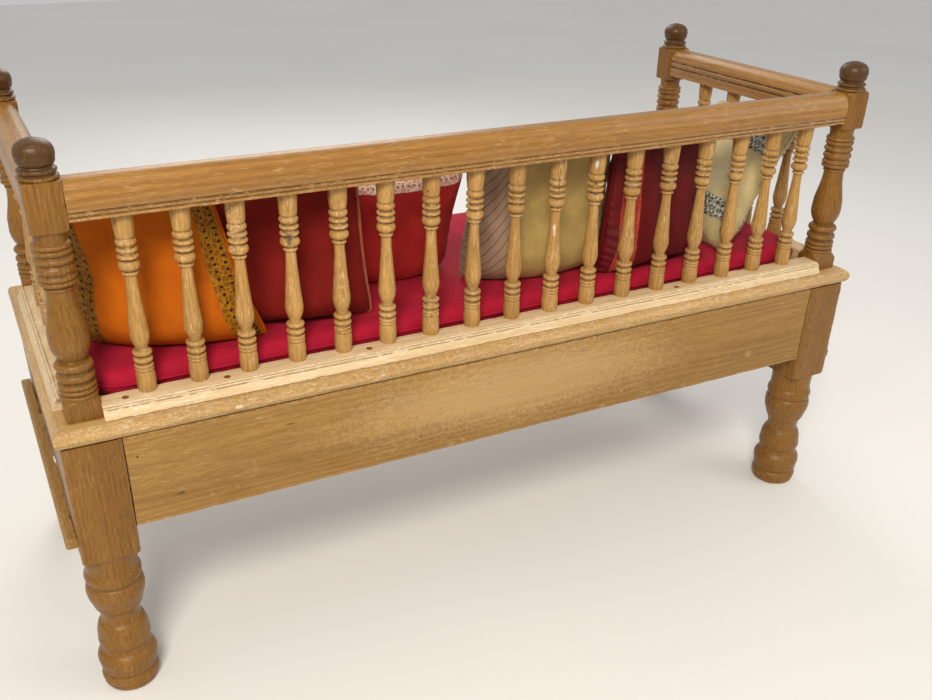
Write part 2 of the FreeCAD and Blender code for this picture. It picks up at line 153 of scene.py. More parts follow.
class Shader:
    """A material under construction: adds nodes and ends in one Principled shader."""

    def __init__(self, name: str) -> None:
        """Start an empty node material.

        Args:
            name: The material's name.
        """
        self.material = bpy.data.materials.new(name)
        self.material.use_nodes = True
        self.tree = self.material.node_tree
        self.tree.nodes.clear()
        self.place = self.node("ShaderNodeTexCoord", {}, output="Object")

    def node(self, kind: str, inputs: dict, output: int | str = 0, **settings) -> Value:
        """Add a node of any kind.

        Args:
            kind: The node's type.
            inputs: Socket name or number to a value, a link or a plain setting.
            output: Which output to return.
            settings: The node's own settings, set before its sockets.

        Returns:
            The node's output as a value.
        """
        made = self.tree.nodes.new(kind)
        for key, setting in settings.items():
            setattr(made, key, setting)
        for key, given in inputs.items():
            socket = made.inputs[key]
            if isinstance(given, Value):
                self.tree.links.new(given.socket, socket)
            elif isinstance(given, tuple) and len(given) == 3 and socket.type == "RGBA":
                socket.default_value = (*given, 1.0)
            else:
                socket.default_value = given
        return Value(self, made.outputs[output])

    def mapped(self, scale: tuple, move: tuple = (0, 0, 0), turn: tuple = (0, 0, 0)) -> Value:
        """Object coordinates, scaled, moved and turned."""
        return self.node(
            "ShaderNodeMapping", {"Vector": self.place, "Scale": scale, "Location": move, "Rotation": turn}
        )

    def noise(self, where: Value, scale: float, detail: float = 2.0, warp: float = 0.0) -> Value:
        """Smooth noise from about 0 to 1 at the given scale."""
        return self.node(
            "ShaderNodeTexNoise",
            {"Vector": where, "Scale": scale, "Detail": detail, "Roughness": 0.55, "Distortion": warp},
        )

    def blend(self, factor: Value | float, first: Value | Colour, second: Value | Colour) -> Value:
        """Mix of two colours."""
        return self.node(
            "ShaderNodeMix", {0: factor, 6: first, 7: second}, output=2, data_type="RGBA", clamp_factor=True
        )

    def axes(self, where: Value) -> tuple[Value, Value, Value]:
        """The three parts of a vector."""
        parts = self.node("ShaderNodeSeparateXYZ", {0: where})
        outputs = parts.socket.node.outputs
        return Value(self, outputs[0]), Value(self, outputs[1]), Value(self, outputs[2])

    def mark(self, name: str) -> Value:
        """A number that the mesh carries at each point."""
        return self.node("ShaderNodeAttribute", {}, output="Fac", attribute_name=name)

    def bump(self, height: Value, depth: float, strength: float = 1.0, under: Value | None = None) -> Value:
        """Normal that follows a height of the given depth in metres."""
        inputs = {"Height": height, "Distance": depth, "Strength": strength}
        if under is not None:
            inputs["Normal"] = under
        return self.node("ShaderNodeBump", inputs)

    def finish(self, colour: Value, roughness: Value | float, normal: Value, **constants: float) -> bpy.types.Material:
        """Close the material with a Principled shader.

        Args:
            colour: Base colour.
            roughness: Roughness.
            normal: Shading normal.
            constants: Other sockets, by name with underscores for spaces, as plain numbers or colours.

        Returns:
            The material.
        """
        inputs: dict = {"Base Color": colour, "Roughness": roughness, "Normal": normal}
        inputs.update({key.replace("_", " "): constant for key, constant in constants.items()})
        surface = self.node("ShaderNodeBsdfPrincipled", inputs)
        end = self.tree.nodes.new("ShaderNodeOutputMaterial")
        self.tree.links.new(surface.socket, end.inputs["Surface"])
        return self.material


# ------------------------------------------------------------------ finishes


# Dark colour of real stains in knots and cracks, also used for the painted shade in crevices.
STAIN_AND_SHADE: Colour = (0.085, 0.038, 0.014)


@dataclass(frozen=True)
class Fleck:
    """A soft-edged spot of a given half size along each axis: a knot, crack, drop of old paint, and also a painted pool
    of light.
    """

    place: tuple[float, float, float]
    reach: tuple[float, float, float]
    colour: Colour = STAIN_AND_SHADE
    strength: float = 0.88


@dataclass(frozen=True)
class Wood:
    """Old hardwood, waxed over a pale residue that stays in its pores and worn crests."""

    name: str
    light: Colour
    dark: Colour
    pale: Colour = (0.66, 0.50, 0.31)
    ring_gap: float = 0.009
    ring_mark: float = 0.22
    crown: Colour | None = None
    heart: tuple[float, float, float] = (0.0, 0.05, -0.06)
    residue: float = 0.5
    wear: float = 0.6
    roughness: float = 0.46
    scratches: float = 0.3
    specular: float = 0.28
    flecks: tuple[Fleck, ...] = ()

    def material(self, grain: Grain) -> bpy.types.Material:
        """Build the material with its grain along one axis.

        Rings are a wave round an axis off the piece, streaks are noise stretched along the grain,
        and the pale residue fills pores in patches and worn crests. The crevices are darkened with painted shade.

        Args:
            grain: Which way the grain runs.

        Returns:
            The material.
        """
        s = Shader(f"{self.name}_{grain.name.lower()}")
        axis = {Grain.ALONG: "X", Grain.ACROSS: "Y", Grain.UPRIGHT: "Z"}[grain]
        along = s.mapped(grain.value, move=self.heart)
        rings = s.node(
            "ShaderNodeTexWave",
            {"Vector": along, "Scale": 2 * math.pi / (20 * self.ring_gap), "Distortion": 7.0, "Detail": 3.0,
             "Detail Scale": 0.45},
            output="Fac", wave_type="RINGS", rings_direction=axis,
        )
        streaks = s.noise(along, 330.0, 4.0, 0.3)
        pores = s.noise(along, 900.0, 2.0)
        drift = s.noise(along, 13.0, 2.0)
        patches = s.noise(s.place, 6.5, 3.0)
        specks = s.noise(s.place, 210.0, 3.0)
        tone = rings * self.ring_mark + streaks * 0.66 + drift * 0.62 - (0.10 + self.ring_mark * 0.5)
        colour = s.blend(tone.step(0.12, 0.92), self.dark, self.light)
        colour = s.blend(patches.step(0.42, 0.8) * 0.30, colour, self.dark)
        if self.crown:
            colour = s.blend(s.axes(s.place)[2].step(0.848, 0.866) * 0.9, colour, self.crown)
        relief = s.mark("relief")
        crest, crevice = relief.step(0.12, 0.8), (0.0 - relief).step(0.06, 0.7)
        colour = s.blend(pores.step(0.52, 0.30) * 0.42, colour, self.dark)
        # Painted shade: the crevices of turnings and mouldings are darkened towards the dark stain colour.
        colour = s.blend(crevice * 0.78, colour, STAIN_AND_SHADE)
        filled = pores.step(0.55, 0.72) * s.noise(s.place, 11.0, 2.0).step(0.36, 0.66) * self.residue
        worn = crest * specks.step(0.42, 0.80) * self.wear
        lodged = crevice * s.noise(s.place, 60.0, 2.0).step(0.52, 0.66) * self.residue
        pale = filled.higher(worn).higher(lodged * 0.8).higher(s.mark("raw") * specks.step(0.45, 0.85) * 0.7)
        for turn in (0.55, -0.8):
            line = s.noise(s.mapped((0.035, 1.0, 0.035), turn=(turn, 0.2, turn)), 900.0, 1.0)
            pale = pale.higher(line.step(0.70, 0.75) * patches.step(0.45, 0.7) * self.scratches)
        colour = s.blend(pale, colour, self.pale)
        for fleck in self.flecks:
            shape = tuple(1.0 / reach for reach in fleck.reach)
            move = tuple(-place * size for place, size in zip(fleck.place, shape))
            away = s.node("ShaderNodeVectorMath", {0: s.mapped(shape, move)}, output="Value", operation="LENGTH")
            spot = 1.0 - (away + s.noise(s.place, 170.0, 2.0) * 0.9).step(0.75, 1.5)
            colour = s.blend(spot * fleck.strength, colour, fleck.colour)
        height = streaks * 0.5 - pores * 0.7 + rings * 0.2 - pale * 0.3
        normal = s.bump(height, 0.0008, 0.6)
        rough = pale * 0.25 + streaks * 0.14 + (self.roughness - 0.07)
        return s.finish(colour, rough, normal, Specular_IOR_Level=self.specular,
                        Coat_Weight=0.05, Coat_Roughness=0.22)


@dataclass(frozen=True)
class Cloth:
    """Woven cover cloth: plain cotton, or satin with a smoother thread and a stronger sheen."""

    name: str
    colour: Colour
    shade: Colour
    sheen_tint: Colour = (1.0, 1.0, 1.0)
    thread: float = 0.0011
    roughness: float = 0.82
    sheen: float = 0.25
    drift: float = 26.0

    def start(self) -> tuple[Shader, Value, Value, Value]:
        """Start the shader and its cloth coordinates.

        Returns:
            The shader, the sewn coordinates, and their two parts in metres.
        """
        s = Shader(self.name)
        sewn = s.node("ShaderNodeUVMap", {}, uv_map="sewn")
        across, up, _ = s.axes(sewn)
        return s, sewn, across, up

    def close(self, s: Shader, sewn: Value, colour: Value, rough: Value | float = 0.0) -> bpy.types.Material:
        """Add the weave, slubs and soft creases, and close the material."""
        across, up, _ = s.axes(sewn)
        weave = across.wave(self.thread) * up.wave(self.thread)
        slubs = s.noise(sewn, 700.0, 2.0)
        creases = s.noise(sewn, 34.0, 3.0, 0.6)
        normal = s.bump(weave * 0.5 + slubs * 0.5, 0.00025, 0.5)
        normal = s.bump(creases, 0.0035, 0.35, under=normal)
        return s.finish(
            colour, rough + self.roughness if isinstance(rough, Value) else self.roughness, normal,
            Specular_IOR_Level=0.18, Sheen_Weight=self.sheen, Sheen_Roughness=0.35, Sheen_Tint=(*self.sheen_tint, 1.0),
        )

    def material(self) -> bpy.types.Material:
        """Build the material of a plain stretch of the cloth."""
        s, sewn, _, _ = self.start()
        uneven = s.noise(sewn, self.drift, 3.0) * 0.7 + s.noise(sewn, 420.0, 2.0) * 0.5
        colour = s.blend(uneven.step(0.3, 0.95), self.shade, self.colour)
        return self.close(s, sewn, colour)


@dataclass(frozen=True)
class TwoTone(Cloth):
    """Satin that turns from one colour to another across the cushion, with dark pin-tuck lines."""

    far_colour: Colour = (0.2, 0.15, 0.12)
    turn_at: float = 0.06
    tuck_gap: float = 0.013

    def material(self) -> bpy.types.Material:
        """Build the material: a smooth step across blends the colours, and a slanted wave darkens the tucks."""
        s, sewn, across, up = self.start()
        far = across.step(self.turn_at - 0.012, self.turn_at + 0.012)
        uneven = s.noise(sewn, self.drift, 3.0).step(0.3, 0.8)
        near = s.blend(uneven, self.shade, self.colour)
        line = (across * 0.8 + up * 0.6 + s.noise(sewn, 20.0, 2.0) * 0.006).wave(self.tuck_gap).step(0.86, 0.99)
        tucked = s.blend(line * 0.75, self.far_colour, (0.10, 0.035, 0.02))
        return self.close(s, sewn, s.blend(far, near, tucked))


@dataclass(frozen=True)
class Brocade(Cloth):
    """Woven band with rows of small oval figures between scrolls of a second thread, and painted glints where set."""

    figure: Colour = (0.1, 0.05, 0.01)
    scroll: Colour = (0.6, 0.4, 0.1)
    gap: float = 0.013
    ovals: float = 1.0
    glitter: float = 0.0

    def material(self) -> bpy.types.Material:
        """Build the material: an oval is a ring of equal product of two waves, a scroll a warped cell edge."""
        s, sewn, across, up = self.start()
        oval = (across.wave(self.gap) * 0.6 + up.wave(self.gap * 1.5) * 0.7).step(0.86, 0.98)
        warped = s.node(
            "ShaderNodeTexVoronoi", {"Vector": sewn, "Scale": 1.25 / self.gap, "Randomness": 0.85},
            output="Distance", feature="DISTANCE_TO_EDGE",
        )
        scrolls = 1.0 - warped.step(0.03, 0.13)
        threads = s.noise(sewn, 900.0, 2.0).step(0.35, 0.65)
        colour = s.blend(threads * 0.6, self.colour, self.shade)
        colour = s.blend(scrolls * 0.8, colour, self.scroll)
        colour = s.blend(oval * self.ovals, colour, self.figure)
        # Painted glints: scattered pale specks in the colour where sequins would catch the light, also made less rough.
        painted_glints = s.noise(sewn, 1500.0, 1.0).step(0.62, 0.72) * self.glitter
        colour = s.blend(painted_glints, colour, (0.95, 0.82, 0.6))
        return self.close(s, sewn, colour, painted_glints * -0.45)


class Finishes:
    """Every finish of the daybed, each made once."""

    posts = Wood("turned_post_wood", (0.290, 0.132, 0.018), (0.125, 0.049, 0.006), ring_gap=0.007, ring_mark=0.10,
                 pale=(0.44, 0.29, 0.12), residue=0.42, wear=0.60, scratches=0.45, roughness=0.34,
                 crown=(0.052, 0.021, 0.005))
    spindles = Wood(
        "spindle_wood", (0.55, 0.310, 0.088), (0.235, 0.112, 0.024), ring_gap=0.006, ring_mark=0.12,
        pale=(0.74, 0.60, 0.40), residue=0.80, wear=0.85, roughness=0.42,
        flecks=(
            Fleck((0.393, 0.275, 0.728), (0.009, 0.010, 0.012), (0.03, 0.026, 0.022)),
            Fleck((-0.073, 0.275, 0.757), (0.0009, 0.010, 0.034), (0.03, 0.02, 0.012)),
            Fleck((-0.070, 0.273, 0.712), (0.004, 0.010, 0.003), (0.72, 0.66, 0.52)),
            Fleck((-0.072, 0.272, 0.676), (0.0028, 0.010, 0.016), (0.74, 0.68, 0.54)),
            Fleck((-0.146, 0.272, 0.778), (0.0032, 0.010, 0.010), (0.55, 0.60, 0.50)),
            Fleck((0.165, 0.272, 0.770), (0.0016, 0.010, 0.0022), (0.02, 0.016, 0.012)),
        ),
    )
    rails = Wood("rail_wood", (0.400, 0.190, 0.036), (0.200, 0.086, 0.012), ring_mark=0.18, residue=0.50, wear=0.5,
                 pale=(0.60, 0.42, 0.21), scratches=0.85, specular=0.5, roughness=0.30)
    aprons = Wood(
        "apron_wood", (0.350, 0.190, 0.048), (0.205, 0.098, 0.018), ring_gap=0.005, ring_mark=0.20,
        heart=(0.0, -0.20, -0.40), pale=(0.60, 0.44, 0.22), residue=0.46, wear=0.5, scratches=0.35, roughness=0.40,
        flecks=(
            Fleck((0.42, 0.302, 0.437), (0.013, 0.05, 0.0018)), Fleck((0.06, 0.302, 0.428), (0.006, 0.05, 0.0026)),
            Fleck((-0.13, 0.302, 0.452), (0.009, 0.05, 0.0028)), Fleck((0.085, 0.302, 0.366), (0.02, 0.05, 0.0012)),
            Fleck((0.20, 0.302, 0.395), (0.0035, 0.05, 0.003)), Fleck((0.60, 0.302, 0.36), (0.010, 0.05, 0.0035)),
            # Painted pool of light: a wide soft paler patch over the middle of the back apron's outer face.
            Fleck((0.0, 0.302, 0.41), (0.42, 0.05, 0.085), (0.66, 0.460, 0.210), 0.36),
            Fleck((0.6715, 0.302, 0.3975), (0.0014, 0.05, 0.09)), Fleck((-0.6715, 0.302, 0.3975), (0.0014, 0.05, 0.09)),
        ),
    )
    mouldings = Wood("moulding_wood", (0.54, 0.335, 0.125), (0.32, 0.175, 0.052), ring_mark=0.20,
                     pale=(0.84, 0.70, 0.49), residue=0.85, scratches=0.7, wear=1.0, roughness=0.38)
    ledges = Wood("ledge_wood", (0.74, 0.570, 0.350), (0.52, 0.350, 0.170), ring_mark=0.18, pale=(0.90, 0.80, 0.64),
                  residue=0.9, scratches=0.6, wear=0.7, roughness=0.46)
    deck = Wood("deck_wood", (0.30, 0.19, 0.10), (0.16, 0.09, 0.045), roughness=0.7)
    mattress = Cloth("mattress_cotton", (0.45, 0.009, 0.036), (0.31, 0.005, 0.022), sheen=0.05)
    orange = Cloth("orange_cotton", (0.52, 0.120, 0.0), (0.38, 0.076, 0.0), sheen=0.0)
    crimson = Cloth("crimson_cotton", (0.215, 0.008, 0.004), (0.14, 0.005, 0.003), sheen=0.03)
    red = Cloth("red_cotton", (0.52, 0.030, 0.024), (0.36, 0.016, 0.015), sheen=0.05)
    olive = TwoTone("olive_satin", (0.47, 0.325, 0.105), (0.35, 0.235, 0.075), roughness=0.40, sheen=0.1,
                    thread=0.0007, far_colour=(0.30, 0.200, 0.130), turn_at=0.065)
    wine = Cloth("wine_satin", (0.15, 0.005, 0.006), (0.08, 0.003, 0.004), roughness=0.42, sheen=0.04, thread=0.0007)
    cream = Cloth("cream_satin", (0.58, 0.47, 0.23), (0.44, 0.35, 0.16), roughness=0.34, sheen=0.1, thread=0.0007)
    gold_band = Brocade("gold_brocade", (0.22, 0.078, 0.002), (0.13, 0.042, 0.001), figure=(0.025, 0.012, 0.003),
                        scroll=(0.38, 0.170, 0.006), gap=0.011, roughness=0.6, sheen=0.0)
    lace = Brocade("pale_lace", (0.70, 0.34, 0.28), (0.60, 0.20, 0.17), figure=(0.20, 0.13, 0.06),
                   scroll=(0.88, 0.78, 0.58), gap=0.010, roughness=0.7)
    sequins = Brocade("red_sequin", (0.40, 0.014, 0.006), (0.20, 0.004, 0.003), figure=(0.55, 0.12, 0.03),
                      scroll=(0.30, 0.008, 0.004), gap=0.006, roughness=0.42, glitter=0.8)
    dark_band = Brocade("dark_brocade", (0.035, 0.045, 0.045), (0.10, 0.11, 0.10), figure=(0.60, 0.58, 0.48),
                        scroll=(0.46, 0.42, 0.30), gap=0.009, roughness=0.6)
    copper = Cloth("copper_piping", (0.42, 0.13, 0.045), (0.22, 0.05, 0.02), roughness=0.4, thread=0.0016)

    def __init__(self) -> None:
        """Start with nothing made."""
        self.made: dict[str, bpy.types.Material] = {}

    def wood(self, finish: Wood, grain: Grain) -> bpy.types.Material:
        """The material of a wood with its grain one way."""
        key = f"{finish.name}_{grain.name}"
        if key not in self.made:
            self.made[key] = finish.material(grain)
        return self.made[key]

    def cloth(self, finish: Cloth) -> bpy.types.Material:
        """The material of a cloth."""
        if finish.name not in self.made:
            self.made[finish.name] = finish.material()
        return self.made[finish.name]

    def iron(self) -> bpy.types.Material:
        """Old iron of the nail heads: noise mixes a dull grey with rust."""
        if "iron" not in self.made:
            s = Shader("iron_nail")
            rust = s.noise(s.place, 900.0, 3.0)
            colour = s.blend(rust.step(0.35, 0.7), (0.10, 0.09, 0.085), (0.20, 0.10, 0.05))
            self.made["iron"] = s.finish(colour, rust * 0.3 + 0.45, s.bump(rust, 0.0003), Metallic=0.6)
        return self.made["iron"]


# ------------------------------------------------------------------ surfaces


@dataclass(frozen=True)
class Lumps:
    """Smooth random field over space: a seeded lattice of numbers from -1 to 1, blended between its points."""

    seed: int
    size: float
    lattice: int = 24

    def at(self, points: Array) -> Array:
        """Value of the field at each point: the eight nearest lattice numbers by smooth distance weights."""
        numbers = np.random.default_rng(self.seed).uniform(-1, 1, (self.lattice,) * 3)
        scaled = points / self.size
        base = np.floor(scaled).astype(int)
        part = scaled - base
        part = part * part * (3 - 2 * part)
        total = np.zeros(points.shape[:-1])
        for corner in np.ndindex(2, 2, 2):
            weight = np.prod(np.where(np.array(corner), part, 1 - part), axis=-1)
            cell = (base + np.array(corner)) % self.lattice
            total += weight * numbers[cell[..., 0], cell[..., 1], cell[..., 2]]
        return total


def smooth_step(value: Array, low: float, high: float) -> Array:
    """0 up to low, 1 from high on, and a smooth cubic between."""
    t = np.clip((value - low) / (high - low), 0, 1)
    return t * t * (3 - 2 * t)


def grid_quads(rows: int, columns: int, wrap: bool) -> Array:
    """Corners of the quads of a grid whose points are numbered row by row.

    Args:
        rows: Number of rows of points.
        columns: Number of points in a row.
        wrap: True where the last column meets the first.

    Returns:
        One row of four point numbers for each quad.
    """
    row = np.arange(rows - 1)[:, None] * columns
    here = np.arange(columns if wrap else columns - 1)[None, :]
    beside = (here + 1) % columns
    corners = [row + here, row + beside, row + columns + beside, row + columns + here]
    return np.stack(corners, axis=-1).reshape(-1, 4)


def add_mesh(
    name: str,
    points: Array,
    quads: Array,
    material: bpy.types.Material,
    caps: list[Array] | None = None,
    marks: dict[str, Array] | None = None,
    sewn: Array | None = None,
    crease: float = 40.0,
) -> bpy.types.Object:
    """Put computed points and faces into a new object at the origin.

    Args:
        name: The object's name.
        points: Points, one row each.
        quads: Four-cornered faces.
        material: The one material.
        caps: Closing faces with any number of corners.
        marks: Numbers at each point, by name.
        sewn: Cloth coordinates of each point, in metres.
        crease: Angle in degrees from which an edge stays sharp.

    Returns:
        The new object.
    """
    caps = caps or []
    corners = np.concatenate([quads.ravel(), *caps]).astype(np.int32)
    sizes = np.concatenate([np.full(len(quads), 4), [len(cap) for cap in caps]]).astype(np.int32)
    mesh = bpy.data.meshes.new(name)
    mesh.vertices.add(len(points))
    mesh.vertices.foreach_set("co", np.ascontiguousarray(points, np.float32).ravel())
    mesh.loops.add(len(corners))
    mesh.loops.foreach_set("vertex_index", corners)
    mesh.polygons.add(len(sizes))
    mesh.polygons.foreach_set("loop_start", np.concatenate([[0], np.cumsum(sizes)[:-1]]).astype(np.int32))
    mesh.update(calc_edges=True)
    mesh.validate()
    for key, numbers in (marks or {}).items():
        mesh.attributes.new(key, "FLOAT", "POINT").data.foreach_set("value", numbers.astype(np.float32).ravel())
    if sewn is not None:
        layer = mesh.uv_layers.new(name="sewn")
        layer.uv.foreach_set("vector", sewn[corners].astype(np.float32).ravel())
    mesh.materials.append(material)
    mesh.set_sharp_from_angle(angle=math.radians(crease))
    made = bpy.data.objects.new(name, mesh)
    bpy.context.scene.collection.objects.link(made)
    LOG.info("%s: %d points, %d faces", name, len(points), len(sizes))
    return made


def node_points(node: str) -> Array:
    """Vertices of a frame node, one row each."""
    mesh = bpy.data.objects[node].data
    flat = np.empty(len(mesh.vertices) * 3, np.float32)
    mesh.vertices.foreach_get("co", flat)
    return flat.reshape(-1, 3).astype(float)


def along_path(path: Array, step: float) -> Array:
    """Points at equal steps along an open path of straight stretches."""
    lengths = np.concatenate([[0], np.cumsum(np.linalg.norm(np.diff(path, axis=0), axis=1))])
    count = max(2, int(lengths[-1] / step) + 1)
    places = np.linspace(0, lengths[-1], count)
    return np.stack([np.interp(places, lengths, path[:, i]) for i in range(path.shape[1])], axis=1)


def tube(path: Array, radius: float, centre: Array, around: int = 8) -> tuple[Array, Array]:
    """Closed tube round a closed path that circles a centre.

    Each ring of points stands square to the path, on the outward direction from the centre and on
    its cross product with the path's own direction.

    Args:
        path: Points of the closed path, in order.
        radius: The tube's radius.
        centre: A point that the path goes round.
        around: Points in a ring.

    Returns:
        The points, and the quads.
    """
    ahead = np.roll(path, -1, axis=0) - np.roll(path, 1, axis=0)
    ahead /= np.linalg.norm(ahead, axis=1, keepdims=True)
    out = path - centre
    out -= (out * ahead).sum(1, keepdims=True) * ahead
    out /= np.linalg.norm(out, axis=1, keepdims=True)
    side = np.cross(ahead, out)
    turn = np.linspace(0, 2 * math.pi, around, endpoint=False)[None, :, None]
    points = path[:, None] + radius * (np.cos(turn) * out[:, None] + np.sin(turn) * side[:, None])
    rows = np.arange(len(path))
    here = np.arange(around)
    beside, later = (here + 1) % around, (rows + 1) % len(path)
    corners = [rows[:, None] * around + here, rows[:, None] * around + beside,
               later[:, None] * around + beside, later[:, None] * around + here]
    return points.reshape(-1, 3), np.stack(corners, axis=-1).reshape(-1, 4)


# ------------------------------------------------------------------ turned pieces


@dataclass(frozen=True)
class Block:
    """Square stretch of a turned piece: half as wide as half, its corners cut back to a radius at each level."""

    half: float
    corners: tuple[tuple[float, float], ...]

    @property
    def low(self) -> float:
        """Bottom of the block."""
        return self.corners[0][0]

    @property
    def high(self) -> float:
        """Top of the block."""
        return self.corners[-1][0]


@dataclass(frozen=True)
class Split:
    """Flat break down one side of a turned piece: how far from its axis, which way it faces, from where to where."""

    facing: float
    depth: float
    low: float
    high: float
    roughness: float = 0.0008


@dataclass
class Turning:
    """A turned piece, rebuilt as one surface round its axis from the outline that its frame node has."""

    node: str
    finish: Wood
    slot: str
    centre: tuple[float, float]
    low: float
    high: float
    seed: int
    columns: int = 32
    step: float = 0.0009
    blocks: tuple[Block, ...] = ()
    splits: tuple[Split, ...] = ()
    wobble: float = 0.00025
    dents: float = 0.0014
    chewed: tuple[float, float] = (0.0, 0.0)
    sunk: float = 0.0

    def outline(self) -> Array:
        """Height and radius along the piece, from the node's own points outside its square stretches.

        Points within a hair's height make one level. A level has its least and its largest radius,
        in the order that starts nearer to the level below.

        Returns:
            Rows of height and radius, from the bottom up.
        """
        points = node_points(self.node)
        radius = np.hypot(points[:, 0] - self.centre[0], points[:, 1] - self.centre[1])
        height = points[:, 2]
        keep = (height >= self.low - 1e-5) & (height <= self.high + 1e-5)
        for block in self.blocks:
            at_end = np.minimum(abs(height - block.low), abs(height - block.high)) < 2e-5
            neck = at_end & (radius < block.half)
            keep &= (height < block.low - 2e-4) | (height > block.high + 2e-4) | neck
        pairs = np.stack([height[keep], radius[keep]], axis=1)
        pairs = np.concatenate([pairs, *(np.array(block.corners) for block in self.blocks)])
        pairs = pairs[np.argsort(pairs[:, 0], kind="stable")]
        level, starts = np.unique(np.round(pairs[:, 0], 5), return_index=True)
        least = np.minimum.reduceat(pairs[:, 1], starts)
        most = np.maximum.reduceat(pairs[:, 1], starts)
        below = np.roll((least + most) / 2, 1)
        falls = abs(below - most) < abs(below - least)
        first, second = np.where(falls, most, least), np.where(falls, least, most)
        rows = np.stack([np.repeat(level, 2), np.stack([first, second], axis=1).ravel()], axis=1)[1:-1]
        rows[0, 1], rows[-1, 1] = most[0], min(most[-1], rows[-1, 1])
        rows[0, 0] -= self.sunk
        return rows[np.concatenate([[True], abs(np.diff(rows, axis=0)).sum(1) > 4e-5])]

    def build(self, finishes: Finishes) -> bpy.types.Object:
        """Make the piece in place of its node.

        The radius is the outline's, held inside the square of a block and behind the plane of a
        split, with small lumps all over and dents on the crests.
        """
        path = along_path(self.outline(), self.step)
        soft = path.copy()
        soft[1:-1] = (path[:-2] + 2 * path[1:-1] + path[2:]) / 4
        spread = int(0.007 / self.step)
        kernel = np.exp(-0.5 * (np.arange(-spread, spread + 1) / (spread / 2)) ** 2)
        padded = np.pad(soft[:, 1], spread, mode="edge")
        level = np.convolve(padded, kernel / kernel.sum(), mode="valid")
        relief = np.clip((soft[:, 1] - level) / 0.0022, -1, 1)[:, None]
        turn = np.linspace(0, 2 * math.pi, self.columns, endpoint=False)[None, :]
        height = np.repeat(soft[:, :1], self.columns, axis=1)
        radius = np.repeat(soft[:, 1:], self.columns, axis=1)
        relief = np.repeat(relief, self.columns, axis=1)
        square = 1 / np.maximum(abs(np.cos(turn)), abs(np.sin(turn)))
        for block in self.blocks:
            inside = (height >= block.low - self.step) & (height <= block.high + self.step)
            cut = np.minimum(radius, block.half * square)
            edge = smooth_step(cut, block.half * 1.30, block.half * 1.40)
            relief = np.where(inside, edge * 0.5, relief)
            radius = np.where(inside, cut, radius)
        flat = np.stack([radius * np.cos(turn), radius * np.sin(turn), height], axis=-1)
        flat += np.array([self.seed * 0.31, self.seed * 0.17, 0.0])
        crest = np.clip(relief, 0, 1)
        radius = radius + self.wobble * Lumps(self.seed, 0.012).at(flat)
        radius -= self.dents * crest * smooth_step(Lumps(self.seed + 1, 0.0065).at(flat), 0.35, 0.8)
        low, high = self.chewed
        if high > low:
            gnawed = smooth_step(height, low, low + 0.004) * (1 - smooth_step(height, high - 0.004, high))
            radius -= gnawed * 0.0035 * smooth_step(Lumps(self.seed + 5, 0.005).at(flat), -0.1, 0.5)
        raw = np.zeros_like(radius)
        for split in self.splits:
            facing = np.cos(turn - math.radians(split.facing))
            rough = split.roughness * Lumps(self.seed + 2, 0.004).at(flat)
            plane = (split.depth + rough) / np.maximum(facing, 0.05)
            inside = smooth_step(height, split.low, split.low + 0.004)
            inside = inside * (1 - smooth_step(height, split.high - 0.004, split.high))
            broken = np.minimum(radius, plane + (1 - inside) * 0.02)
            raw = np.maximum(raw, np.where(broken < radius - 1e-5, 1.0, 0.0))
            radius = broken
        radius = np.maximum(radius, 2e-4)
        points = np.stack(
            [self.centre[0] + radius * np.cos(turn), self.centre[1] + radius * np.sin(turn), height], axis=-1
        )
        rows = len(soft)
        caps = [np.arange(self.columns)[::-1], np.arange(self.columns) + (rows - 1) * self.columns]
        made = add_mesh(
            f"{self.node}_turned", points.reshape(-1, 3), grid_quads(rows, self.columns, True),
            finishes.wood(self.finish, Grain.UPRIGHT), caps, {"relief": relief.ravel(), "raw": raw.ravel()},
            crease=50.0,
        )
        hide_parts(self.node)
        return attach(made, BODY)


# ------------------------------------------------------------------ boards and rails


@dataclass
class Section:
    """Closed outline of a board or rail as (out, up) points, counter-clockwise, with arcs where it is round."""

    points: list[tuple[float, float]] = field(default_factory=list)

    def line(self, out: float, up: float) -> "Section":
        """Add a corner."""
        self.points.append((out, up))
        return self

    def arc(self, mid_out: float, mid_up: float, out: float, up: float, count: int = 10) -> "Section":
        """Add an arc through a middle point: the circle through three points, walked in equal turns."""
        (ax, ay), (bx, by), (cx, cy) = self.points[-1], (mid_out, mid_up), (out, up)
        d = 2 * (ax * (by - cy) + bx * (cy - ay) + cx * (ay - by))
        ux = ((ax**2 + ay**2) * (by - cy) + (bx**2 + by**2) * (cy - ay) + (cx**2 + cy**2) * (ay - by)) / d
        uy = ((ax**2 + ay**2) * (cx - bx) + (bx**2 + by**2) * (ax - cx) + (cx**2 + cy**2) * (bx - ax)) / d
        first, middle, last = (math.atan2(y - uy, x - ux) for x, y in ((ax, ay), (bx, by), (cx, cy)))
        sweep = (last - first) % (2 * math.pi)
        if (middle - first) % (2 * math.pi) > sweep:
            sweep -= 2 * math.pi
        radius = math.hypot(ax - ux, ay - uy)
        turns = first + sweep * np.arange(1, count + 1) / count
        self.points.extend((ux + radius * math.cos(t), uy + radius * math.sin(t)) for t in turns)
        return self

    def sampled(self, step: float) -> Array:
        """The closed outline at equal steps, its corners eased a little."""
        closed = np.array([*self.points, self.points[0]])
        path = along_path(closed, step)[:-1]
        return (np.roll(path, 1, axis=0) + 4 * path + np.roll(path, -1, axis=0)) / 6


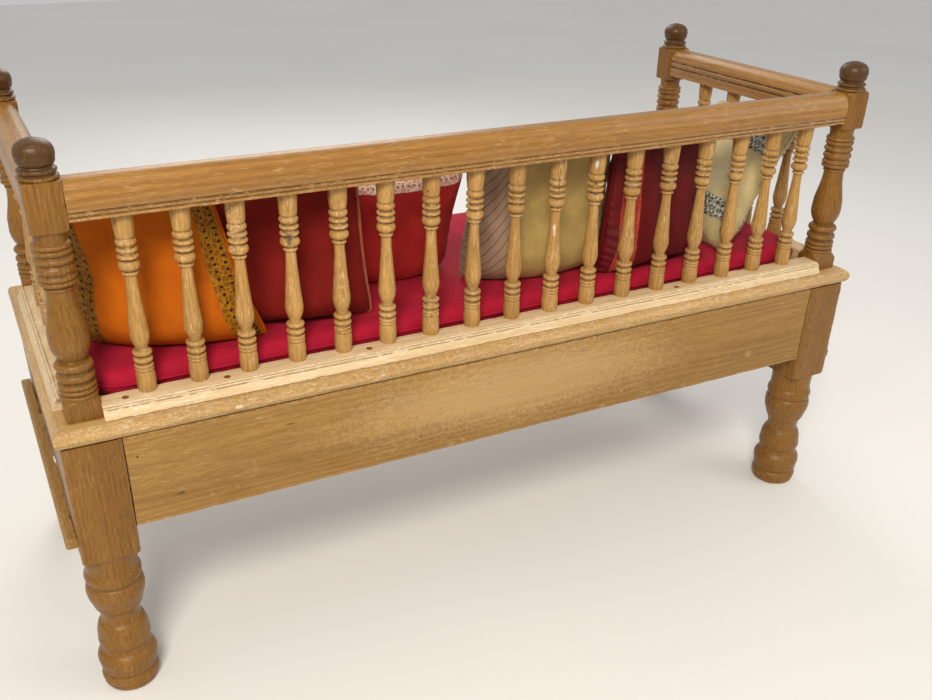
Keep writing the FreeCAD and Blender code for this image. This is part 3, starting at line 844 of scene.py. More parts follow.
@dataclass
class Board:
    """A board or rail: its section carried along one side of the bed, square or mitred at its ends."""

    node: str
    section: Section
    side: Side
    offset: float
    half_length: float
    finish: Wood
    slot: str
    seed: int
    mitre: float = 0.0
    step: float = 0.002
    stride: float = 0.006
    warp: float = 0.0005
    nicks: float = 0.0012

    def build(self, finishes: Finishes, part: str = "run") -> bpy.types.Object:
        """Make the piece in place of its node.

        A point is the section's point at each stride along the length, moved by long lumps that
        warp the whole board and by short ones that nick its convex edges.
        """
        outline = self.section.sampled(self.step)
        ahead, behind = np.roll(outline, -1, axis=0) - outline, outline - np.roll(outline, 1, axis=0)
        bend = np.cross(np.pad(behind, ((0, 0), (0, 1))), np.pad(ahead, ((0, 0), (0, 1))))[:, 2]
        bend = np.clip(bend / self.step**2, -1, 1)
        relief = (bend + np.roll(bend, 1) + np.roll(bend, -1)) * 0.9
        across = np.roll(outline, -1, axis=0) - np.roll(outline, 1, axis=0)
        across /= np.linalg.norm(across, axis=1, keepdims=True)
        outward = np.stack([across[:, 1], -across[:, 0]], axis=1)
        count = max(3, int(2 * self.half_length / self.stride))
        t = np.linspace(-1, 1, count)[:, None]
        x = t * (self.half_length + self.mitre * outline[None, :, 0])
        place = np.stack([x * 0.12, np.broadcast_to(outline[:, 0], x.shape),
                          np.broadcast_to(outline[:, 1], x.shape)], axis=-1) + self.seed * 0.37
        moved = self.warp * Lumps(self.seed, 0.03).at(place)
        place[..., 0] *= 6
        edge = np.clip(relief, 0, 1)[None, :]
        moved = moved - self.nicks * edge * smooth_step(Lumps(self.seed + 1, 0.009).at(place), 0.3, 0.8)
        y = self.offset + outline[:, 0] + moved * outward[:, 0]
        z = outline[:, 1] + moved * outward[:, 1]
        turn = math.radians(self.side.value)
        points = np.stack([x * math.cos(turn) - y * math.sin(turn), x * math.sin(turn) + y * math.cos(turn), z], -1)
        columns = len(outline)
        caps = [np.arange(columns)[::-1], np.arange(columns) + (count - 1) * columns]
        marks = {"relief": np.broadcast_to(np.clip(relief, -1, 1), x.shape).ravel()}
        grain = Grain.ACROSS if self.side.is_end else Grain.ALONG
        made = add_mesh(
            f"{self.node}_{part}", points.reshape(-1, 3), grid_quads(count, columns, True),
            finishes.wood(self.finish, grain), caps, marks, crease=32.0,
        )
        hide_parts(self.node)
        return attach(made, BODY)


@dataclass
class Stud:
    """Low round head of a nail or plug, domed over its rim, standing on a face."""

    name: str
    place: tuple[float, float, float]
    facing: tuple[float, float, float]
    radius: float
    height: float
    slot: str

    def build(self, material: bpy.types.Material) -> bpy.types.Object:
        """Make the head: rings whose height over the face falls with the square of their radius."""
        out = Vector(self.facing).normalized()
        side = out.orthogonal().normalized()
        up = out.cross(side)
        rings = np.array([[1.0, -2.0], [1.0, 0.25], [0.93, 0.55], [0.7, 0.8], [0.4, 0.95], [0.05, 1.0]])
        turn = np.linspace(0, 2 * math.pi, 20, endpoint=False)[None, :, None]
        wide, tall = rings[:, :1, None] * self.radius, rings[:, 1:, None] * self.height
        points = np.array(self.place) + wide * (np.cos(turn) * np.array(side) + np.sin(turn) * np.array(up))
        points = points + tall * np.array(out)
        caps = [np.arange(20)[::-1], np.arange(20) + 100]
        made = add_mesh(self.name, points.reshape(-1, 3), grid_quads(6, 20, True), material, caps)
        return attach(made, BODY)


# ------------------------------------------------------------------ soft goods


@dataclass
class Sheet:
    """One face of a stuffed piece as a grid of points, rows upwards and columns across."""

    across: Array
    up: Array
    points: Array
    outward: float

    def at(self, x: Array, z: Array) -> tuple[Array, Array]:
        """Points and outward normals of the face at flat coordinates.

        The grid is blended between its four nearest points, and the normal is the cross product of
        its two slopes.
        """
        column = np.interp(x, self.across, np.arange(len(self.across)))
        row = np.interp(z, self.up, np.arange(len(self.up)))
        c, r = np.clip(column.astype(int), 0, len(self.across) - 2), np.clip(row.astype(int), 0, len(self.up) - 2)
        fc, fr = (column - c)[..., None], (row - r)[..., None]
        slopes = np.stack([np.gradient(self.points, axis=1), np.gradient(self.points, axis=0)])

        def blend(grid: Array) -> Array:
            low = grid[r, c] * (1 - fc) + grid[r, c + 1] * fc
            high = grid[r + 1, c] * (1 - fc) + grid[r + 1, c + 1] * fc
            return low * (1 - fr) + high * fr

        normal = np.cross(blend(slopes[0]), blend(slopes[1])) * self.outward
        return blend(self.points), normal / np.linalg.norm(normal, axis=-1, keepdims=True)


@dataclass(frozen=True)
class Band:
    """Flat trim sewn on a face, from one flat point to another, with a width."""

    start: tuple[float, float]
    end: tuple[float, float]
    width: float
    finish: Cloth
    lift: float = 0.0012

    def build(self, name: str, sheet: Sheet, finishes: Finishes) -> bpy.types.Object:
        """Make the band as a thin closed slab over the face.

        Its rows follow the line from start to end, its columns go across on top and back below, and
        both are the face's own points moved along its normals.
        """
        start, end = np.array(self.start), np.array(self.end)
        length = float(np.linalg.norm(end - start))
        ahead = (end - start) / length
        side = np.array([ahead[1], -ahead[0]]) * -sheet.outward
        rows, columns = max(3, int(length / 0.005)), max(4, int(self.width / 0.0045))
        t = np.linspace(0, length, rows)[:, None]
        w = np.linspace(-self.width / 2, self.width / 2, columns)[None, :]
        x = start[0] + ahead[0] * t + side[0] * w
        z = start[1] + ahead[1] * t + side[1] * w
        middle, normal = sheet.at(x, z)
        ease = np.ones(columns)
        ease[[0, -1]] = 0.35
        top = middle + normal * self.lift * ease[None, :, None]
        bottom = middle - normal * 0.0012
        points = np.concatenate([top, bottom[:, ::-1]], axis=1)
        sewn = np.stack([t + 0 * w, w + 0 * t], axis=-1)
        sewn = np.concatenate([sewn, sewn[:, ::-1]], axis=1).reshape(-1, 2)
        wide = 2 * columns
        caps = [np.arange(wide)[::-1], np.arange(wide) + (rows - 1) * wide]
        made = add_mesh(
            name, points.reshape(-1, 3), grid_quads(rows, wide, True), finishes.cloth(self.finish), caps,
            sewn=sewn, crease=60.0,
        )
        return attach(made, BODY)


@dataclass
class Stuffed:
    """A stuffed piece: two faces that meet in a seam, filled by pressure, then puckered and dressed."""

    node: str
    finish: Cloth
    seed: int
    piping: Cloth | None = None
    piping_radius: float = 0.0016
    fill: float = 0.6
    cap: float = 0.010
    folds: float = 0.0022
    pucker: float = 0.0016
    pucker_gap: float = 0.011
    pucker_reach: float = 0.016
    pressure: float = 4.0
    bands: tuple[tuple[Band, bool], ...] = ()
    made: bpy.types.Object | None = field(default=None, init=False)
    start: Array | None = field(default=None, init=False)

    def faces(self) -> tuple[Array, Array, Array, Array]:
        """Flat coordinates across and up, and the front and the back face as grids of points."""
        raise NotImplementedError

    def placed(self, points: Array) -> Array:
        """Points in the bed's axes."""
        return points

    def numbering(self, rows: int, columns: int) -> tuple[Array, Array]:
        """Point numbers of the front and back grids, which share their border."""
        front = np.arange(rows * columns).reshape(rows, columns)
        back = front.copy()
        back[1:-1, 1:-1] = rows * columns + np.arange((rows - 2) * (columns - 2)).reshape(rows - 2, columns - 2)
        return front, back

    def sew(self, finishes: Finishes) -> None:
        """Make the closed mesh of the two faces and give it the pressure that fills it."""
        across, up, front, back = self.faces()
        rows, columns = front.shape[:2]
        first, second = self.numbering(rows, columns)
        points = np.concatenate([front.reshape(-1, 3), back[1:-1, 1:-1].reshape(-1, 3)])
        near = np.stack([first[:-1, :-1], first[:-1, 1:], first[1:, 1:], first[1:, :-1]], axis=-1).reshape(-1, 4)
        far = np.stack([second[:-1, :-1], second[1:, :-1], second[1:, 1:], second[:-1, 1:]], axis=-1).reshape(-1, 4)
        flat = np.stack(np.meshgrid(across, up), axis=-1)
        sewn = np.concatenate([flat.reshape(-1, 2), flat[1:-1, 1:-1].reshape(-1, 2)])
        self.made = add_mesh(
            f"{self.node}_cover", points, np.concatenate([near, far]), finishes.cloth(self.finish), sewn=sewn,
            crease=180.0,
        )
        self.start = points
        cloth = self.made.modifiers.new("Fill", "CLOTH")
        cloth.settings.use_pressure = True
        cloth.settings.uniform_pressure_force = self.pressure
        cloth.settings.effector_weights.gravity = 0
        cloth.settings.quality = 6
        cloth.settings.tension_stiffness = 25
        cloth.settings.compression_stiffness = 12
        cloth.settings.bending_stiffness = 0.35
        cloth.collision_settings.use_collision = False

    def swollen(self) -> Array:
        """The points as the pressure leaves them, each held within the cap of where it started."""
        seen = self.made.evaluated_get(bpy.context.evaluated_depsgraph_get())
        flat = np.empty(len(self.start) * 3, np.float32)
        seen.data.vertices.foreach_get("co", flat)
        move = flat.reshape(-1, 3) - self.start
        far = np.linalg.norm(move, axis=1, keepdims=True)
        self.made.modifiers.clear()
        return self.start + move * np.minimum(1, self.cap / np.maximum(far, 1e-9))

    def puckers(self, across: Array, up: Array) -> Array:
        """How far each point of a face moves out: long soft folds, and short pleats that fade from the seams.

        A fold is a smooth random field. A pleat is a sine along the nearer seam, its phase shifted by
        another field, that falls off exponentially with the distance from the seam.
        """
        x, z = np.meshgrid(across, up)
        place = np.stack([x, z, np.full_like(x, self.seed * 0.29)], axis=-1)
        phase = 2.4 * Lumps(self.seed, 0.03).at(place)
        moved = self.folds * Lumps(self.seed + 3, 0.055).at(place) * (1 + 0.6 * Lumps(self.seed + 4, 0.11).at(place))
        strong = 0.55 + 0.75 * np.clip(Lumps(self.seed + 6, 0.04).at(place) + 0.35, 0, 1)
        for along, gap in ((z, across[-1] - abs(x)), (x, up[-1] - abs(z))):
            wave = np.sin(2 * math.pi * along / self.pucker_gap + phase)
            moved = moved + self.pucker * strong * np.exp(-np.maximum(gap, 0) / self.pucker_reach) * wave
        return moved

    def close(self, finishes: Finishes) -> None:
        """Pucker the filled piece, put it in its place, and add its seam and bands."""
        across, up, front, _ = self.faces()
        rows, columns = front.shape[:2]
        first, second = self.numbering(rows, columns)
        points = self.swollen()
        moved = self.puckers(across, up)
        for numbers, outward in ((first, 1.0), (second, -1.0)):
            grid = points[numbers]
            normal = np.cross(np.gradient(grid, axis=1), np.gradient(grid, axis=0)) * outward
            normal /= np.maximum(np.linalg.norm(normal, axis=-1, keepdims=True), 1e-9)
            inner = (slice(1, -1), slice(1, -1))
            points[numbers[inner]] += (normal * moved[..., None])[inner]
        points = self.placed(points)
        self.made.data.vertices.foreach_set("co", points.astype(np.float32).ravel())
        self.made.data.update()
        smooth = self.made.modifiers.new("Smooth", "SUBSURF")
        smooth.levels = smooth.render_levels = 1
        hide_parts(self.node)
        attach(self.made, BODY)
        loop = np.concatenate([first[0, :-1], first[:-1, -1], first[-1, :0:-1], first[:0:-1, 0]])
        path = points[loop]
        cord, quads = tube(path, self.piping_radius, path.mean(axis=0))
        around = len(cord) // len(path)
        run = np.concatenate([[0], np.cumsum(np.linalg.norm(np.diff(path, axis=0), axis=1))])
        sewn = np.stack([np.repeat(run, around), np.tile(np.arange(around) * 0.0008, len(path))], axis=1)
        trim = self.piping or self.finish
        seam = add_mesh(f"{self.node}_seam", cord, quads, finishes.cloth(trim), sewn=sewn, crease=180.0)
        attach(seam, BODY)
        sheets = {False: Sheet(across, up, points[first], 1.0), True: Sheet(across, up, points[second], -1.0)}
        for number, (band, is_back) in enumerate(self.bands):
            band.build(f"{self.node}_band_{number + 1}", sheets[is_back], finishes)


@dataclass
class Cushion(Stuffed):
    """A loose cushion that stands on the mattress, turned and leaning."""

    width: float = 0.28
    height: float = 0.30
    back: float = 0.03
    front: float = 0.05
    yaw: float = 0.0
    lean: float = 0.0
    roll: float = 0.0
    shear: float = 0.0
    taper: float = 0.03
    belly: float = 0.02
    rounding: float = 0.05
    ear: float = 0.0
    pull: float = 0.03
    points_across: int = 44

    def faces(self) -> tuple[Array, Array, Array, Array]:
        """Flat coordinates and the two faces of the cushion before it is filled.

        A face is x = half width * u * (1 - pull * (1 - v^2)), the same for z with u and v swapped,
        and a depth that is the bulge times ((1 - u^2) * (1 - v^2)) to the power 0.45. The corners are
        drawn in by the fourth power of u * v, the top narrows by the taper, the whole leans sideways
        by the shear, and the belly is a bell curve over v that hangs low on the back face.
        """
        s = np.linspace(-1, 1, self.points_across)
        spread = 0.45 * s + 0.55 * np.sin(math.pi / 2 * s)
        across, up = spread * self.width / 2, spread * self.height / 2
        u, v = np.meshgrid(spread, spread)
        x = self.width / 2 * u * (1 - self.pull * (1 - v**2))
        z = self.height / 2 * v * (1 - self.pull * (1 - u**2))
        corner = 1 - self.rounding * (u * v) ** 4
        x, z = x * corner * (1 - self.taper * v), z * corner
        x = x + self.shear * z
        z = z + self.ear * np.clip(u, 0, 1) ** 3 * np.clip(v, 0, 1) ** 3
        depth = np.clip((1 - u**2) * (1 - v**2), 0, 1) ** 0.45
        ratio = 0.88
        hang = self.belly * np.exp(-(((v + 0.62) / 0.42) ** 2)) * np.clip((1 - u**2) * (1 - v**2), 0, 1) ** 0.4
        front = np.stack([x, -self.front * ratio * depth - 0.4 * hang, z - 0.3 * hang], axis=-1)
        back = np.stack([x, self.back * ratio * depth + hang, z - 0.55 * hang], axis=-1)
        return across, up, front, back

    def placed(self, points: Array) -> Array:
        """Lean back about X, turn about Z, and rest in the box of the cushion's node.

        The lowest few millimetres are pressed flat on the mattress.
        """
        lean, yaw, roll = (math.radians(angle) for angle in (-self.lean, self.yaw, self.roll))
        tip = Matrix.Rotation(yaw, 3, "Z") @ Matrix.Rotation(lean, 3, "X") @ Matrix.Rotation(roll, 3, "Y")
        tip = np.array(tip)
        turned = points @ tip.T
        low, high = (np.array(corner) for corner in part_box(self.node))
        middle = (turned.min(0) + turned.max(0)) / 2
        turned[:, :2] += ((low + high) / 2 - middle)[:2]
        turned[:, 2] += low[2] - 0.004 - turned[:, 2].min()
        press = turned[:, 2] - low[2]
        turned[:, 2] = low[2] + np.where(press < 0.012, np.clip((press + 0.004) / 0.016, 0, 1) ** 2 * 0.012, press)
        return turned


@dataclass
class Mattress(Stuffed):
    """The thin mattress between the ledges: flat faces with rounded edges and corners."""

    corner: float = 0.052
    edge: float = 0.019

    def faces(self) -> tuple[Array, Array, Array, Array]:
        """Flat coordinates and the two faces.

        The distance from the border gives the half thickness as a quarter ellipse. In a corner a
        square patch is carried to a quarter disc: the larger offset is the radius, and the ratio of
        the two offsets gives the angle.
        """
        low, high = (np.array(corner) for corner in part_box(self.node))
        half, middle = (high - low) / 2, (high + low) / 2
        rim = np.array([0.0, 0.0006, 0.0028, 0.0065, 0.0115, 0.018, 0.027])

        def stations(reach: float) -> Array:
            inner = np.linspace(-1, 1, int(2 * reach / 0.012)) * (reach - 0.038)
            return np.concatenate([-reach + rim, inner, (reach - rim)[::-1]])

        across, up = stations(half[0]), stations(half[1])
        x, y = np.meshgrid(across, up)
        inside = np.minimum(half[0] - abs(x), half[1] - abs(y))
        swell = np.sqrt(np.clip(1 - (1 - np.clip(inside / self.edge, 0, 1)) ** 2, 0, 1))
        a = abs(x) - (half[0] - self.corner)
        b = abs(y) - (half[1] - self.corner)
        cornered = (a > 0) & (b > 0)
        large, small = np.maximum(a, b), np.minimum(a, b)
        angle = math.pi / 4 * np.where(cornered, small / np.maximum(large, 1e-9), 0)
        angle = np.where(a > b, angle, math.pi / 2 - angle)
        x = np.where(cornered, np.sign(x) * (half[0] - self.corner + large * np.cos(angle)), x)
        y = np.where(cornered, np.sign(y) * (half[1] - self.corner + large * np.sin(angle)), y)
        seat = np.stack([x + middle[0], y + middle[1], middle[2] + half[2] * swell], axis=-1)
        under = np.stack([x + middle[0], y + middle[1], middle[2] - half[2] * swell], axis=-1)
        return across, up, seat, under

    def placed(self, points: Array) -> Array:
        """Keep the top just under the cushions and the underside on the deck."""
        low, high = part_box(self.node)
        points[:, 2] = np.clip(points[:, 2], low[2], high[2] + 0.0004)
        return points


# ------------------------------------------------------------------ the bed


@dataclass
class Frame:
    """Legs, aprons, mouldings and ledges: everything under the seat."""

    leg_half: float = 0.0435
    seat_low: float = 0.476
    seat_top: float = 0.506
    ledge_top: float = 0.526
    finishes: Finishes = field(default_factory=Finishes)

    def legs(self) -> None:
        """Four legs: a square block over a turned foot."""
        corners = ((0.271, 0.0570), (0.274, 0.0592), (0.472, 0.0592), (0.476, 0.0585))
        for number, (end, x) in enumerate((("left", -0.715), ("right", 0.715))):
            for side, y in (("back", 0.26), ("front", -0.26)):
                Turning(
                    f"leg_{side}_{end}", self.finishes.posts, "turned_post_wood", (x, y), 0.0, 0.476,
                    seed=11 + 2 * number + (y > 0), columns=64, step=0.0013, blocks=(Block(self.leg_half, corners),),
                    wobble=0.0006, dents=0.0022,
                ).build(self.finishes)

    def aprons(self) -> None:
        """Four aprons; those of the ends carry a lip along their lower edge."""
        high, low = self.seat_low, 0.319
        for number, side in enumerate(Side):
            half = 0.2165 if side.is_end else 0.6715
            section = Section([(0.0155, low), (0.0415, low), (0.0415, high), (0.0155, high)])
            offset = 0.715 if side.is_end else 0.26
            Board(
                f"apron_{side.label}", section, side, offset, half, self.finishes.aprons, "apron_wood",
                seed=31 + number, step=0.003, nicks=0.0008, warp=0.0004,
            ).build(self.finishes)
            if side.is_end:
                lip = Section([(0.0438, 0.299), (0.0585, 0.299), (0.0615, 0.302), (0.0615, 0.314), (0.0585, 0.317),
                               (0.0438, 0.317)])
                run = Board(f"apron_{side.label}", lip, side, offset, 0.2885, self.finishes.aprons, "apron_wood",
                            seed=41 + number, nicks=0.002)
                run.build(self.finishes, "lip")

    def seat(self) -> None:
        """Mitred mouldings with a half-round nose, and the ledges that stand on them."""
        low, top, ledge = self.seat_low, self.seat_top, self.ledge_top
        nose = Section([(-0.034, low), (0.035, low)]).arc(0.050, low + 0.015, 0.035, top, 12)
        nose.line(-0.020, top).line(-0.020, top - 0.016).line(-0.034, top - 0.016)
        out = 0.037
        bead = Section([(-0.008, top), (out + 0.002, top)])
        bead.arc(out - 0.0006, top + 0.0055, out - 0.004, top + 0.0125, 8).line(out - 0.005, top + 0.014)
        bead.arc(out - 0.0036, ledge - 0.0046, out - 0.0065, ledge - 0.0032, 4).line(out - 0.008, ledge - 0.0032)
        bead.arc(out - 0.0074, ledge - 0.0009, out - 0.010, ledge, 4).line(out - 0.011, ledge)
        bead.arc(out - 0.012, ledge - 0.0014, out - 0.013, ledge, 4).line(-0.008, ledge)
        for number, side in enumerate(Side):
            half, offset = (0.26, 0.715) if side.is_end else (0.715, 0.26)
            Board(f"seat_moulding_{side.label}", nose, side, offset, half, self.finishes.mouldings, "moulding_wood",
                  seed=51 + number, mitre=1.0, nicks=0.002, warp=0.0005).build(self.finishes)
            Board(f"seat_ledge_{side.label}", bead, side, offset, half - 0.025, self.finishes.ledges,
                  "moulding_wood", seed=61 + number, step=0.0012, stride=0.008, nicks=0.0012,
                  warp=0.0003).build(self.finishes)

    def deck(self) -> None:
        """The deck boards keep their own shape and get their wood."""
        node = bpy.data.objects["deck_boards"]
        node.data.materials.clear()
        node.data.materials.append(self.finishes.wood(self.finishes.deck, Grain.ACROSS))


@dataclass
class Railing:
    """Posts, top rails and spindles of the back and both ends."""

    finishes: Finishes
    rail_low: float = 0.796
    rail_top: float = 0.852

    def posts(self) -> None:
        """Four corner posts with a square foot, a square head and a finial."""
        foot = Block(0.025, ((0.506, 0.0338), (0.509, 0.0350), (0.525, 0.0350), (0.529, 0.0340), (0.533, 0.0306),
                             (0.5365, 0.0272), (0.539, 0.0250)))
        head = Block(0.025, ((0.785, 0.0325), (0.788, 0.0344), (0.848, 0.0344), (0.852, 0.0312)))
        for number, (end, x) in enumerate((("left", -0.715), ("right", 0.715))):
            for side, y in (("back", 0.26), ("front", -0.26)):
                near = side == "back"
                Turning(
                    f"post_{side}_{end}", self.finishes.posts, "turned_post_wood", (x, y), 0.506, 0.905,
                    seed=71 + 2 * number + near, columns=64 if near else 52, step=0.0011 if near else 0.0014,
                    blocks=(foot, head), wobble=0.0004, dents=0.0018,
                ).build(self.finishes)

    def rails(self) -> None:
        """Top rails: rounded on top, with two fine beads low on the outer face and two grooves on the inner."""
        low, top, half = self.rail_low, self.rail_top, 0.025
        section = Section([(-half + 0.001, low), (half - 0.001, low)])
        section.arc(half - 0.0002, low + 0.002, half - 0.001, low + 0.004, 5)
        section.arc(half - 0.0026, low + 0.0052, half - 0.001, low + 0.0064, 4)
        section.arc(half - 0.0002, low + 0.0084, half - 0.001, low + 0.0104, 5)
        section.arc(half - 0.0028, low + 0.0116, half - 0.001, low + 0.0128, 4)
        section.arc(half + 0.0006, low + 0.025, half - 0.0015, low + 0.037, 8)
        section.arc(half - 0.008, top - 0.0055, 0.0, top, 10)
        section.arc(-half + 0.008, top - 0.0055, -half + 0.0012, low + 0.0326, 10)
        section.arc(-half + 0.0040, low + 0.0310, -half + 0.0008, low + 0.0294, 5)
        section.arc(-half + 0.0002, low + 0.0253, -half + 0.0008, low + 0.0212, 5)
        section.arc(-half + 0.0040, low + 0.0196, -half + 0.0008, low + 0.0180, 5)
        for number, side in enumerate((Side.BACK, Side.LEFT, Side.RIGHT)):
            half_length, offset = (0.235, 0.715) if side.is_end else (0.690, 0.26)
            Board(f"top_rail_{side.label}", section, side, offset, half_length, self.finishes.rails, "rail_wood",
                  seed=81 + number, step=0.0011, nicks=0.0012, warp=0.0009).build(self.finishes)

    def spindles(self) -> None:
        """Seventeen spindles along the back and four in each end, some of them split or gnawed."""
        broken = {15: (Split(48.0, 0.0098, 0.7135, 0.7965, 0.0012),), 10: (Split(78.0, 0.0125, 0.708, 0.729, 0.001),),
                  12: (Split(62.0, 0.0132, 0.755, 0.768, 0.0008),)}
        gnawed = {11: (0.556, 0.601), 13: (0.556, 0.570)}
        for number in range(1, 18):
            centre = (-0.620 + 0.0775 * (number - 1), 0.26)
            Turning(
                f"spindle_back_{number:02d}", self.finishes.spindles, "spindle_wood", centre, self.rail_low - 0.27,
                self.rail_low, seed=100 + number, splits=broken.get(number, ()),
                chewed=gnawed.get(number, (0.0, 0.0)), sunk=0.001,
            ).build(self.finishes)
        for end, x in (("left", -0.715), ("right", 0.715)):
            for number in range(1, 5):
                node = f"spindle_{end}_{number:02d}"
                low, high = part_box(node)
                y = (low[1] + high[1]) / 2
                Turning(
                    node, self.finishes.spindles, "spindle_wood", (x, y), self.rail_low - 0.27, self.rail_low,
                    seed=130 + number + (10 if x > 0 else 0), step=0.0010, sunk=0.001,
                ).build(self.finishes)

    def studs(self) -> None:
        """Nail heads in one spindle, in the legs and under the rail, and plugs in the ledge."""
        iron = self.finishes.iron()
        toward = (0.58, 0.81, 0.0)
        heads = (
            ("nail_spindle_1", (-0.1465, 0.2718, 0.7455), toward, 0.0024),
            ("nail_spindle_2", (-0.1465, 0.2718, 0.7290), toward, 0.0022),
            ("nail_leg_1", (0.690, 0.3035, 0.452), (0, 1, 0), 0.0026),
            ("nail_leg_2", (0.684, 0.3035, 0.345), (0, 1, 0), 0.0026),
            ("nail_leg_3", (-0.690, 0.3035, 0.448), (0, 1, 0), 0.0026),
            ("nail_leg_4", (-0.690, 0.3035, 0.350), (0, 1, 0), 0.0026),
            ("nail_apron_1", (0.655, 0.3015, 0.440), (0, 1, 0), 0.0022),
        )
        for name, place, facing, radius in heads:
            Stud(name, place, facing, radius, 0.0007, "iron_nail").build(iron)
        wood = self.finishes.wood(self.finishes.posts, Grain.ACROSS)
        for number, x in enumerate((0.655, 0.504, 0.271, -0.349)):
            Stud(f"ledge_plug_{number + 1}", (x, 0.2735, 0.526), (0, 0, 1), 0.0052, 0.0006,
                 "moulding_wood").build(wood)


class Bedding:
    """The mattress and the six cushions."""

    def __init__(self, finishes: Finishes) -> None:
        """Lay out the pieces, each with its finish and trims."""
        self.finishes = finishes
        f = finishes
        edges = tuple(
            (Band((x, -0.130), (x, 0.143), 0.036, f.gold_band), back) for x in (-0.112, 0.112) for back in (True, False)
        )
        lace = tuple((Band((-0.130, 0.112), (0.130, 0.112), 0.034, f.lace), back) for back in (True, False))
        sequin = tuple((Band((0.098, -0.132), (0.098, 0.136), 0.040, f.sequins), back) for back in (True, False))
        dark = tuple(
            (Band((-0.140, z), (0.140, z), 0.040, f.dark_band), back) for z in (0.078, -0.070)
            for back in (True, False)
        )
        self.pieces: list[Stuffed] = [
            Mattress("mattress", f.mattress, 201, piping_radius=0.0022, fill=0.9, cap=0.003, folds=0.0016,
                     pucker=0.0008, pucker_gap=0.034, pucker_reach=0.03, pressure=2.0),
            Cushion("cushion_orange", f.orange, 211, width=0.270, height=0.290, back=0.026, front=0.058, yaw=-20,
                    lean=4.5, shear=0.16, taper=0.08, belly=0.040, ear=0.012, bands=edges, fill=0.7),
            Cushion("cushion_crimson", f.crimson, 221, piping=f.copper, piping_radius=0.0026, width=0.284,
                    height=0.278, back=0.022, front=0.050, yaw=-20, lean=4.5, roll=2, belly=0.034, fill=0.7,
                    pucker=0.0009),
            Cushion("cushion_red", f.red, 231, width=0.268, height=0.272, back=0.034, front=0.046, yaw=-6, lean=24,
                    taper=-0.05, rounding=0.10, belly=0.02, bands=lace, fill=0.7),
            Cushion("cushion_olive", f.olive, 241, width=0.300, height=0.284, back=0.044, front=0.058, yaw=-3,
                    lean=10, belly=0.034, rounding=0.08, fill=0.8, folds=0.0026),
            Cushion("cushion_wine", f.wine, 251, width=0.276, height=0.282, back=0.026, front=0.040, yaw=8, lean=4,
                    bands=sequin, fill=0.6, folds=0.005, pucker=0.003, pucker_gap=0.017, pucker_reach=0.035),
            Cushion("cushion_cream", f.cream, 261, width=0.290, height=0.296, back=0.034, front=0.054, yaw=84,
                    lean=33, bands=dark, fill=0.6, folds=0.004),
        ]

    def build(self) -> None:
        """Sew every piece, fill them all together, and close them."""
        for piece in self.pieces:
            piece.sew(self.finishes)
        scene = bpy.context.scene
        for number in range(1, 21):
            scene.frame_set(number)
        for piece in self.pieces:
            piece.close(self.finishes)


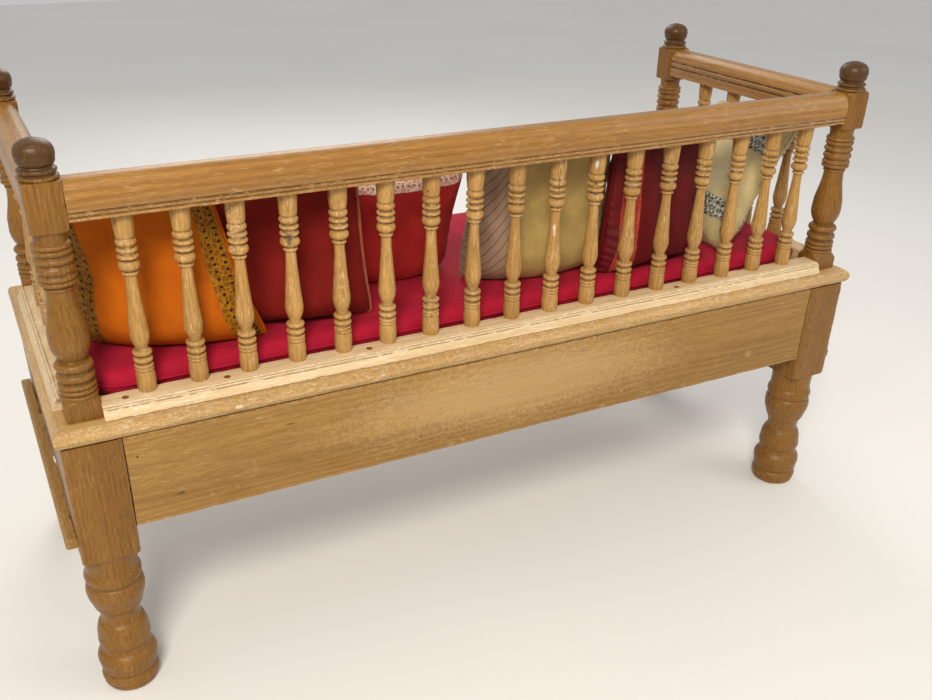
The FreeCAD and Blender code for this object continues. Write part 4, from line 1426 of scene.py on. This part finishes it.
@dataclass
class Studio:
    """Pale floor, soft lights and the camera."""

    place: tuple[float, float, float] = (0.8106, 1.5967, 1.2114)
    yaw: float = 0.47731
    pitch: float = 0.50332
    roll: float = 0.01594

    def floor(self) -> None:
        """A wide floor whose pale colour drifts a little."""
        s = Shader("studio_floor")
        drift = s.noise(s.place, 0.8, 2.0)
        colour = s.blend(drift.step(0.2, 0.8), (0.80, 0.79, 0.77), (0.84, 0.83, 0.81))
        material = s.finish(colour, drift * 0.1 + 0.6, s.bump(s.noise(s.place, 90.0), 0.0005, 0.1))
        ticks = np.linspace(-9, 9, 13)
        x, y = np.meshgrid(ticks, ticks)
        points = np.stack([x.ravel(), y.ravel(), np.full(x.size, -0.0004)], axis=1)
        made = add_mesh("studio_floor", points, grid_quads(13, 13, False), material)

    def light(self, name: str, place: tuple, size: float, power: float, colour: Colour) -> None:
        """A square soft light that faces the middle of the bed."""
        data = bpy.data.lights.new(name, "AREA")
        data.size, data.energy, data.color = size, power, colour
        made = bpy.data.objects.new(name, data)
        made.location = place
        made.rotation_euler = (Vector((0, 0, 0.6)) - Vector(place)).to_track_quat("-Z", "Y").to_euler()
        bpy.context.scene.collection.objects.link(made)

    def camera(self) -> None:
        """The camera, from its place and its three turns."""
        cy, sy, cp, sp = math.cos(self.yaw), math.sin(self.yaw), math.cos(self.pitch), math.sin(self.pitch)
        ahead = Vector((-sy * cp, -cy * cp, -sp))
        right = Vector((-cy, sy, 0.0))
        up = right.cross(ahead)
        cr, sr = math.cos(self.roll), math.sin(self.roll)
        axes = Matrix((right * cr + up * sr, up * cr - right * sr, -ahead)).transposed()
        data = bpy.data.cameras.new("camera")
        data.sensor_width, data.lens = 36.0, 37.81
        data.shift_x, data.shift_y = 0.0189, 0.0569
        made = bpy.data.objects.new("camera", data)
        made.matrix_world = Matrix.Translation(self.place) @ axes.to_4x4()
        bpy.context.scene.collection.objects.link(made)
        bpy.context.scene.camera = made

    def build(self) -> None:
        """Set up the whole studio."""
        scene = bpy.context.scene
        scene.view_settings.view_transform = "Standard"
        world = bpy.data.worlds.new("studio")
        world.use_nodes = True
        backdrop = next(node for node in world.node_tree.nodes if node.type == "BACKGROUND")
        backdrop.inputs["Color"].default_value = (1.0, 0.99, 0.97, 1.0)
        backdrop.inputs["Strength"].default_value = 0.55
        scene.world = world
        self.floor()
        self.light("key", (1.6, 2.6, 3.0), 1.0, 120.0, (1.0, 0.93, 0.82))
        self.light("fill", (-2.6, 2.0, 2.2), 1.8, 22.0, (1.0, 0.97, 0.92))
        self.light("far", (-0.6, -2.8, 2.6), 1.8, 40.0, (1.0, 0.96, 0.90))
        self.camera()


def main() -> None:
    """Build the daybed around its frame."""
    logging.basicConfig(level=logging.INFO, format="%(name)s: %(message)s")
    finishes = Finishes()
    frame_work = Frame(finishes=finishes)
    frame_work.legs()
    frame_work.aprons()
    frame_work.seat()
    frame_work.deck()
    railing = Railing(finishes)
    railing.posts()
    railing.rails()
    railing.spindles()
    railing.studs()
    Bedding(finishes).build()
    Studio().build()


if __name__ == "__main__":
    main()
